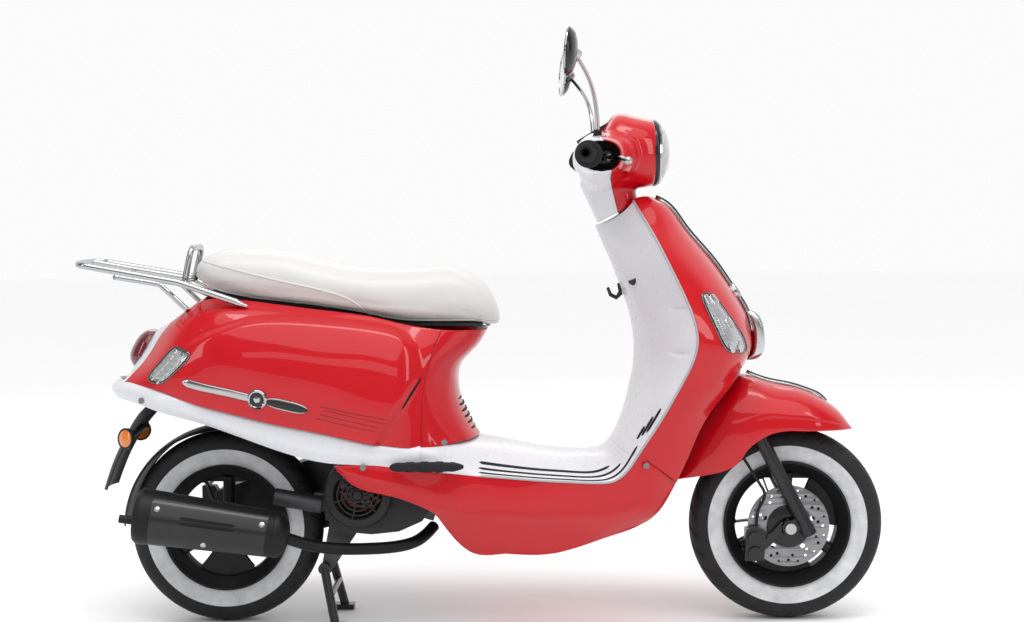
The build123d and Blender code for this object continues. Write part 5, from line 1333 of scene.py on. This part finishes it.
def makeNacelle():
    turn = np.linspace(0, 2 * np.pi, 80, endpoint=False)
    c, s = squared(turn, 0.85)
    line = lineThrough(nacelleRings, 60)
    head = np.stack([np.tile(line[:, :1], (1, 80)), c * line[:, 3:4], line[:, 1:2] + s * line[:, 2:3]], -1)
    pieces = [closedPiece("head", head)]
    arms = lineThrough(nacelleArms, 60)
    rightArm = np.stack([arms[:, 1:2] + c * arms[:, 2:3], -np.tile(arms[:, :1], (1, 80)),
                         arms[:, 3:4] + s * arms[:, 4:5]], -1)
    arm = closedPiece("arm", rightArm)
    pieces.append(mirroredPiece(arm, "armLeft"))
    pieces.append(arm)
    neck = []
    for t in np.linspace(0, 1, 20):
        centre = upSteer * (784 + 100 * t) + aheadSteer * (-16 + 16 * t) + steeringAxle
        neck.append(centre + aheadSteer * (c * (50 + 12 * t))[:, None]
                    + sideways * (s * (40 + 14 * t))[:, None])
    pieces.append(closedPiece("neck", np.array(neck)))
    whole = joined("nacelle", pieces)
    remesh = whole.modifiers.new("remesh", "REMESH")
    remesh.mode, remesh.voxel_size = "VOXEL", nacelle["remesh"] * mm
    smooth = whole.modifiers.new("smooth", "SMOOTH")
    smooth.factor, smooth.iterations = 0.6, 22
    settled(whole)
    # A near-black wall deep in each arm's mouth, inboard of the lever's pin: it stands for the black switch
    # housing there, with painted shade in the mouth.
    across = float(np.interp(nacelle["plug"], [a[0] for a in nacelleArms], [a[2] for a in nacelleArms]))
    tall = float(np.interp(nacelle["plug"], [a[0] for a in nacelleArms], [a[4] for a in nacelleArms]))
    plug = np.array([np.stack([262.5 + c * (across - 4), np.full(80, -nacelle["plug"] - k * 2.0),
                               1028.5 + s * (tall - 4)], -1)
                     for k in (0, 1)])
    give(bothSides("armPlugs", closedPiece("armPlug", plug)), "steering", "black_plastic", darkHollow)
    # Open the lamp mouth, the arm ends and the neck's foot, then part it along the slanted seam.
    cuts = [((386, 0, 1040), (1, 0, 0)), ((0, nacelle["armEnd"], 0), (0, 1, 0)),
            ((0, -nacelle["armEnd"], 0), (0, -1, 0)),
            (steeringAxle + upSteer * nacelle["neckFoot"], -upSteer)]
    work = bmesh.new()
    work.from_mesh(whole.data)
    for place, way in cuts:
        bmesh.ops.bisect_plane(work, geom=work.verts[:] + work.edges[:] + work.faces[:], dist=1e-6,
                               plane_co=Vector(place) * mm, plane_no=Vector(way), clear_outer=True)
    work.to_mesh(whole.data)
    work.free()
    way = Vector((1, 0, nacelle["seamSlope"])).normalized()
    for name, sign, material, slotName, node in (("lampHood", -1, redPaint, "red_paint", "headlight_cover"),
                                                 ("rearHousing", 1, palePlastic, "pale_plastic",
                                                  "handlebar_cover")):
        half = bpy.data.objects.new(name, whole.data.copy())
        bpy.context.scene.collection.objects.link(half)
        work = bmesh.new()
        work.from_mesh(half.data)
        place = Vector((nacelle["seamX"], 0, nacelle["seamZ"])) * mm + way * (sign * -0.6 * mm)
        bmesh.ops.bisect_plane(work, geom=work.verts[:] + work.edges[:] + work.faces[:], dist=1e-6,
                               plane_co=place, plane_no=way * sign, clear_outer=True)
        work.to_mesh(half.data)
        work.free()
        withWall(half, nacelle["wall"], 0.6)
        give(half, "steering", slotName, material, node)
    bpy.data.objects.remove(whole)


def makeHeadlamp():
    x = 388.0
    ring = turnedPiece("lampRing", [(60, -10), (73.5, -8), (74, -1), (70, 5), (62, 6), (58, 0)], (x, 0, 1040),
                       (1, 0, 0), 96,
                       closed=True)
    give(ring, "steering", "black_plastic", glossBlack)
    bezel = turnedPiece("lampBezel", [(58, 2), (67, 3), (69.5, 6), (67.5, 10), (62, 12), (57, 9), (55, -4)],
                        (x, 0, 1040),
                        (1, 0, 0), 96, closed=True)
    give(bezel, "steering", "chrome", chromePlate, "headlight_bezel")
    dome = [(60.5 * math.cos(a), 8 + 24 * math.sin(a)) for a in np.linspace(0.0, math.pi / 2, 24)]
    inside = [(r * 0.955, t - 2.2) for r, t in dome[::-1]]
    lens = turnedPiece("lampGlass", dome + inside, (x, 0, 1040), (1, 0, 0), 96, closed=True)
    give(lens, "steering", "clear_lens", lampGlass, "headlight_lens")
    bowl = turnedPiece("lampBowl", [(0, -40), (20, -38), (42, -24), (58, 6), (56.6, 6), (41, -22), (20, -35),
                                    (0, -37)],
                       (x, 0, 1040), (1, 0, 0), 96)
    bulb = turnedPiece("lampBulb", [(0, 2), (9, 0), (11, -8), (11, -36), (0, -36)], (x, 0, 1040), (1, 0, 0),
                       48)
    give(joined("lampReflector", [bowl, bulb]), "steering", "chrome", silverPocket)


gripInner = np.array([233.1, -240.0, 1031.6])
gripOuter = np.array([223.1, -346.0, 1031.6])


def makeGrips():
    # Ribbed rubber with an inner flange and a swollen outer end.
    way = (gripOuter - gripInner) / np.linalg.norm(gripOuter - gripInner)
    start = gripInner + way * 4
    length = 108.0
    profile = [(13, 0), (26, 0), (29, 2), (29, 6), (26, 8.5), (18, 9)]
    for k in range(26):
        s = 12 + k * 3.3
        profile += [(17.6, s), (17.6, s + 1.9), (16.4, s + 2.4), (16.4, s + 3.0)]
    profile += [(18.4, 99), (19.6, 101), (19.6, 106), (17.6, length), (12, length), (12, 60)]
    for side, name, node, body in ((1, "throttleGrip", "throttle_grip", "throttle"),
                                   (-1, "leftHandGrip", "left_grip", "steering")):
        mirror = np.array((1, side, 1))
        piece = turnedPiece(name, profile, start * mirror, way * mirror, 56)
        give(piece, body, "black_rubber", blackRubber, node)


mirrorFoot = np.array([255.1, -132, 1057.6])


def makeMirrors():
    foot = mirrorFoot
    knee = np.array([foot[0] - 26, -236, 1198])
    head = np.array([foot[0] - 62, -298, 1238.0])
    way = np.array([-1, 0.12, 0.08])
    way /= np.linalg.norm(way)
    boot = turnedPiece("boot", [(0, -8), (11, -8), (11, 0), (13.5, 2), (13.5, 8), (11, 10), (11, 16), (9, 18),
                                (9, 27),
                                (7, 29), (0, 29)], foot, (0, -0.2, 1), 40)
    clamp = turnedPiece("clamp", [(0, -14), (8, -13), (10, -9), (10, 9), (8, 13), (0, 14)],
                        head + (12, 6, -8),
                        (0.5, -0.5, 0.6), 32)
    stem = rodAlong("stem", lineThrough([foot + (0, 0, 20), foot + (-2, -16, 62), foot + (-14, -66, 116),
                                         knee,
                                         head + (14, 8, -8)], 80), np.linspace(5.2, 4.3, 80), 20)
    shell = turnedPiece("shell", [(0, -17), (24, -14.5), (40, -9.5), (49, -2), (51.5, 3), (50, 4.6),
                                  (0, 4.6)], head, way, 96)
    bezel = turnedPiece("bezel", [(46.8, 3), (51.8, 2.5), (52.4, 4.5), (50.6, 6.8), (47.6, 6.6)], head, way,
                        96, closed=True)
    glass = turnedPiece("glass", [(0, 5.6), (40, 5.4), (48, 5.1), (48, 3), (0, 3)], head, way, 96)
    metal = joined("mirrorMetal", [stem, clamp, bezel])
    for side, body, node in (("Right", "right_mirror", "mirror_right"),
                             ("Left", "left_mirror", "mirror_left")):
        for piece, title, slot, material, nodes in (
                (shell, "mirrorShell", "black_plastic", glossBlack, [node]),
                (metal, "mirrorMetal", "chrome", chromePlate, []),
                (glass, "mirrorGlass", "chrome", mirrorGlass, []),
                (boot, "mirrorBoot", "black_rubber", blackRubber, [])):
            made = piece if side == "Right" else mirroredPiece(piece, title + side)
            give(made, body, slot, material, *nodes).name = title + side


# Engine side and rear

def makeFanCover():
    centre = np.array([-267.0, 0, 306.0])
    face = -158.0
    body = turnedPiece("fanShroud", [(76, 90), (77, 56), (76, 24), (70, 8), (58, 2), (54, 0), (52, 4),
                                     (50, 30), (50, 92)],
                       (centre[0], face, centre[2]), (0, 1, 0), 96, closed=True)
    snout = platePiece("snout", [[(-345, 300), (-340, 250), (-300, 222), (-240, 216), (-180, 222),
                                  (-130, 244),
                                  (-102, 280), (-104, 330), (-140, 368), (-200, 382), (-270, 384),
                                  (-330, 350)],
                                 circle((centre[0], centre[2]), 62, 64)], 56, 7.0, -110.0)
    give(joined("fanHousing", [body, snout]), "engine", "black_plastic", blackPlastic, "fan_cover")
    rings = []
    for radius in (14, 24, 34, 44):
        path = np.array([(centre[0] + radius * math.cos(a), face + 3, centre[2] + radius * math.sin(a))
                         for a in np.linspace(0, 2 * math.pi, 65)])
        rings.append(rodAlong("ring", path, 2.0, 8))
    for k in range(6):
        a = math.pi * k / 3 + 0.3
        ends = [centre + (r * math.cos(a), face + 4, r * math.sin(a)) for r in (0, 56)]
        rings.append(rodAlong("spoke", np.linspace(*ends, 12), 2.2, 8))
    rings.append(turnedPiece("boss", [(0, -3), (9, -2), (12, 2), (12, 8), (0, 8)],
                             (centre[0], face + 2, centre[2]),
                             (0, 1, 0), 32))
    give(joined("fanGrille", rings), "engine", "black_plastic", blackPlastic)


shockTop = np.array([-548.0, 122, 590])
shockFoot = np.array([-640.0, 122, 300])
coil = {"travel": 69.3, "start": 62, "spare": 114, "turns": 8.5, "radius": 22.4, "wire": 3.6}


def makeSpring():
    way = (shockFoot - shockTop) / np.linalg.norm(shockFoot - shockTop)
    length = np.linalg.norm(shockFoot - shockTop)
    first = np.cross(way, sideways)
    free = length - coil["spare"]
    t = np.linspace(0, 1, 420)
    reach = coil["start"] + free * (0.02 + 0.96 * t)
    angle = 2 * np.pi * coil["turns"] * t
    around = np.cos(angle)[:, None] * first + np.sin(angle)[:, None] * sideways
    path = shockTop + way * reach[:, None] + coil["radius"] * around
    spring = rodAlong("shockCoil", path, coil["wire"], 12)
    give(spring, "shock_body", "steel", steelFinish, "shock_spring")
    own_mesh(spring)


mufflerFront = np.array([-432.0, -172, 224])
mufflerRear = np.array([-738.0, -178, 270])


def makeExhaust():
    way = (mufflerRear - mufflerFront) / np.linalg.norm(mufflerRear - mufflerFront)
    length = float(np.linalg.norm(mufflerRear - mufflerFront))
    can = turnedPiece("can", [(0, -18), (16, -18), (30, -14), (44, -5), (50, 4), (50.5, 12), (49, 14),
                              (49, 18), (50.5, 20),
                              (59, length - 30), (61, length - 14), (60.5, length - 6), (55, length + 1),
                              (44, length + 3), (0, length + 3)], mufflerFront, way, 80)
    tail = turnedPiece("tailPipe", [(6.5, length), (9, length), (9, length + 36), (6.5, length + 36),
                                    (6.5, length + 6)],
                       mufflerFront + (0, -14, -10), way, 40, closed=True)
    pipe = rodAlong("pipe", lineThrough([(-112, -20, 212), (-150, -84, 190), (-250, -112, 181),
                                         (-372, -128, 192),
                                         (-440, -160, 222)], 90), 13, 24)
    give(joined("exhaustBody", [can, tail, pipe]), "engine", "black_metal", mufflerBlack, "exhaust")
    # A curved heat shield stands a little off the outer side, held by three screws.
    across = np.cross(way, (0, 0, 1.0))
    across /= np.linalg.norm(across)
    upward = np.cross(across, way)
    if across[1] > 0:
        across = -across
    s = np.linspace(26, length - 36, 60)[:, None]
    a = np.linspace(-0.95, 0.95, 30)[None, :]
    radius = 50 + 10 * s / length + 3.4
    grid = (mufflerFront + way * s[..., None] + across * (np.cos(a) * radius)[..., None]
            + upward * (np.sin(a) * radius)[..., None])
    grid = facedFrom(grid, (mufflerFront + mufflerRear) / 2)
    shield = withWall(newObject("heatShield", grid, gridFaces(60, 30)), 1.6, 0.5)
    give(shield, "engine", "black_metal", blackEnamel)
    screws, fins = [], []
    for share, tilt in ((0.12, 0.5), (0.5, -0.62), (0.84, 0.5)):
        reach = length * share
        out = across * math.cos(tilt) + upward * math.sin(tilt)
        at = mufflerFront + way * reach + out * (50 + 10 * share + 3)
        screws.append(turnedPiece("screw", [(0, 4.5), (3, 4.2), (6, 2.6), (6.8, 0.4), (6.8, -2), (0, -2)], at,
                                  out, 24))
    give(joined("shieldScrews", screws), "engine", "steel", steelFinish)
    # Two slots along the shield are near-black strips: painted shade in the openings.
    for tilt in (0.12, 0.3):
        out = across * math.cos(tilt) + upward * math.sin(tilt)
        path = np.array([mufflerFront + way * r + out * (50 + 10 * r / length + 3.2)
                         for r in np.linspace(92, 210, 40)])
        fins.append(ribbon("fin", path, np.tile(out, (40, 1)), 7.0, 0.8, 0.1))
    give(joined("shieldSlots2", fins), "engine", "black_plastic", darkHollow)


hugger = {"from": 52, "to": 178, "radius": 221, "crown": 8, "halfWidth": 54, "wall": 2.4}


def makeRearMudguard():
    # A hugger over the wheel and, behind it, the plate carrier's blade.
    turn = np.radians(np.linspace(hugger["from"], hugger["to"], 70))
    side = np.linspace(-1, 1, 31)
    grid = np.zeros((70, 31, 3))
    radius = hugger["radius"] + hugger["crown"] * np.sqrt(np.clip(1 - side ** 2, 0, 1))
    grid[..., 0] = rearAxle[0] + radius[None] * np.cos(turn)[:, None]
    grid[..., 1] = side[None] * hugger["halfWidth"]
    grid[..., 2] = rearAxle[2] + radius[None] * np.sin(turn)[:, None]
    guard = panelPiece("tyreHugger", grid, rearAxle, hugger["wall"])
    give(guard, "engine", "black_plastic", blackPlastic)
    rows = [[(-700, 64, 506), (-716, 40, 508), (-722, 0, 508)],
            [(-742, 62, 470), (-758, 40, 474), (-764, 0, 475)],
            [(-778, 60, 426), (-790, 40, 428), (-795, 0, 428)],
            [(-812, 58, 366), (-822, 38, 366), (-826, 0, 366)],
            [(-836, 54, 304), (-845, 36, 303), (-849, 0, 302)]]
    blade = panelPiece("blade", surfaceThrough(wholeWidth(rows), 50, 31), (-600, 0, 300), 3.0)
    blade.name = "rearMudguardBlade"
    give(blade, "frame", "black_plastic", blackPlastic, "rear_mudguard")


def makePegs():
    # A folding rest that narrows to both ends, with rubber ribs across its top.
    at = np.array([(-192, 3, 3), (-186, 8, 7), (-160, 11, 10), (-110, 12, 11), (-66, 11, 10), (-42, 8, 6),
                   (-35, 4, 3)])
    line = lineThrough(at, 90)
    turn = np.linspace(0, 2 * np.pi, 40, endpoint=False)
    c, s = squared(turn, 0.6)
    ribs = 1 + 0.07 * np.sign(np.sin(line[:, 0] / 5.0)) * (np.abs(line[:, 0] + 112) < 60)
    rings = np.stack([np.tile(line[:, :1], (1, 40)), -210 + c * line[:, 1:2],
                      375 + s * line[:, 2:3] * ribs[:, None]], -1)
    peg = closedPiece("footRestRight", rings)
    give(mirroredPiece(peg, "footRestLeft"), "left_peg", "black_rubber", blackRubber, "footpeg_left")
    give(peg, "right_peg", "black_rubber", blackRubber, "footpeg_right")


# The cooling fan takes the darker red: painted shade on a red part inside its shroud.
cadMaterials = {
    "frame": blackEnamel, "rear_rack": chromePlate, "handlebar": blackEnamel, "steering_stem": blackEnamel,
    "fork_legs": blackEnamel, "front_axle": steelFinish, "brake_caliper": blackEnamel,
                "brake_hose": blackRubber,
    "engine_case": castAlloy, "cooling_fan": paintedShadeRed, "kick_lever": steelFinish, "centre_stand": blackEnamel,
    "shock_upper": blackEnamel, "shock_lower": steelFinish, "seat_pan": blackPlastic,
                "luggage_box": blackPlastic,
    "fuel_tank": blackPlastic, "fasteners": darkChrome, "steering_bearings": steelFinish,
                "bag_hook": blackPlastic,
    "ignition_lock": blackPlastic, "start_button": blackPlastic, "horn_button": blackPlastic,
    "footpeg_right": blackRubber, "footpeg_left": blackRubber, "brake_lever_right": chromePlate,
    "brake_lever_left": chromePlate, "instrument_cluster": blackPlastic}


def dressCadNodes():
    for name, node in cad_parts.items():
        if node.hide_render:
            continue
        node.data.materials.clear()
        node.data.materials.append(cadMaterials.get(name, blackPlastic))
        node.data.polygons.foreach_set("material_index", np.zeros(len(node.data.polygons), int))


camera = {"place": (119.4, -3750, 922.7), "lens": 59.22, "pitch": 3.519, "yaw": 0.794, "roll": -0.492}


def makeCamera():
    pitch, yaw, roll = (math.radians(camera[k]) for k in ("pitch", "yaw", "roll"))
    ahead = Vector((-math.sin(yaw) * math.cos(pitch), math.cos(yaw) * math.cos(pitch), -math.sin(pitch)))
    level = Vector((math.cos(yaw), math.sin(yaw), 0))
    upward = level.cross(ahead)
    right = level * math.cos(roll) + upward * math.sin(roll)
    upright = upward * math.cos(roll) - level * math.sin(roll)
    data = bpy.data.cameras.new("camera")
    data.lens, data.sensor_width = camera["lens"], 36
    data.clip_end = 100
    item = bpy.data.objects.new("camera", data)
    bpy.context.scene.collection.objects.link(item)
    item.matrix_world = Matrix.Translation(Vector(camera["place"]) * mm) @ Matrix(
        (right, upright, -ahead)).transposed().to_4x4()
    bpy.context.scene.camera = item


studio = {"near": 0.26, "far": 0.97, "turn": (0.0, 0.30), "sun": 1.7, "spread": 1.3,
          "aim": (math.radians(32), math.radians(8), 0)}
areaLights = [((0.1, -0.9, 3.6), (0.0, 0.0, 0.7), (3.6, 0.6), 40),
              ((3.4, -2.0, 2.0), (0.4, 0, 0.7), (0.5, 2.2), 14),
              ((-3.4, -2.2, 2.0), (-0.4, 0, 0.6), (0.5, 2.2), 12),
              ((0.0, -5.5, 1.9), (0, 0, 0.6), (4.5, 0.5), 9),
              ((0.0, 3.6, 3.0), (0, 0, 0.8), (4.0, 0.8), 14)]


def makeStage():
    turn = np.linspace(0, 2 * np.pi, 96, endpoint=False)
    points = np.concatenate([np.stack([20000 * np.cos(turn), 20000 * np.sin(turn), np.full(96, -0.6)], -1),
                             [(0, 0, -0.6)]])
    faces = [(i, (i + 1) % 96, 96) for i in range(96)]
    floor = newObject("floor", points, [tuple(f) for f in faces])
    pale = Finish("paleFloor", Specular_IOR_Level=0.1)
    pale.set(Base_Color=pale.blend(pale.noise(0.6, 2.0), (0.93, 0.93, 0.935), (0.95, 0.95, 0.955)))
    pale.set(Roughness=pale.noise(2.0) * 0.05 + 0.85)
    floor.data.materials.append(pale.material)
    world = bpy.data.worlds.new("studio")
    world.use_nodes = True
    tree = world.node_tree
    ways = tree.nodes.new("ShaderNodeTexCoord")
    split = tree.nodes.new("ShaderNodeSeparateXYZ")
    ramp = tree.nodes.new("ShaderNodeValToRGB")
    tree.links.new(ways.outputs["Generated"], split.inputs[0])
    tree.links.new(split.outputs["Y"], ramp.inputs["Fac"])
    tree.links.new(ramp.outputs[0], tree.nodes["Background"].inputs["Color"])
    # The wall behind is white and the room in front darker, so that glossy panels keep their depth.
    ramp.color_ramp.elements[0].position, ramp.color_ramp.elements[1].position = studio["turn"]
    ramp.color_ramp.elements[0].color = (studio["near"],) * 3 + (1,)
    ramp.color_ramp.elements[1].color = (studio["far"],) * 3 + (1,)
    sun = bpy.data.lights.new("sky", "SUN")
    sun.energy, sun.angle = studio["sun"], studio["spread"]
    item = bpy.data.objects.new("sky", sun)
    bpy.context.scene.collection.objects.link(item)
    item.rotation_euler = studio["aim"]
    bpy.context.scene.world = world
    bpy.context.scene.view_settings.view_transform = "Standard"
    for k, (place, aim, size, power) in enumerate(areaLights):
        lamp = bpy.data.lights.new("softBox" + str(k), "AREA")
        lamp.shape, lamp.size, lamp.size_y, lamp.energy = "RECTANGLE", *size, power
        item = bpy.data.objects.new(lamp.name, lamp)
        bpy.context.scene.collection.objects.link(item)
        facing = (Vector(place) - Vector(aim)).to_track_quat("Z", "Y").to_matrix().to_4x4()
        item.matrix_world = Matrix.Translation(place) @ facing


print("panels")
deck = makeDeck()
makeFloorMats(deck)
makeShieldSlots(deck)
makeRimTrim()
makeFrontShield()
makeFender()
makeSkirts()
body = makeUnderSeatBody()
print("trim")
makeSideBand()
makeBadge(body)
makeBodyDetails(body)
makeTail()
makeIndicators()
makeNoseTrim()
print("seat")
makeSeat()
print("wheels")
makeTyre("frontTyre", steeringAxle, "front_wheel", frontTyreRubber, "front_tyre")
makeTyre("rearTyre", rearAxle, "rear_wheel", rearTyreRubber, "rear_tyre")
makeRim("frontRim", steeringAxle, "front_wheel", "front_rim")
makeRim("rearRim", rearAxle, "rear_wheel", "rear_rim")
makeDisc()
print("handlebar")
makeNacelle()
makeHeadlamp()
makeGrips()
makeMirrors()
print("engine and rear")
makeFanCover()
makeSpring()
makeExhaust()
makeRearMudguard()
makePegs()
dressCadNodes()
print("camera and lights")
makeCamera()
makeStage()
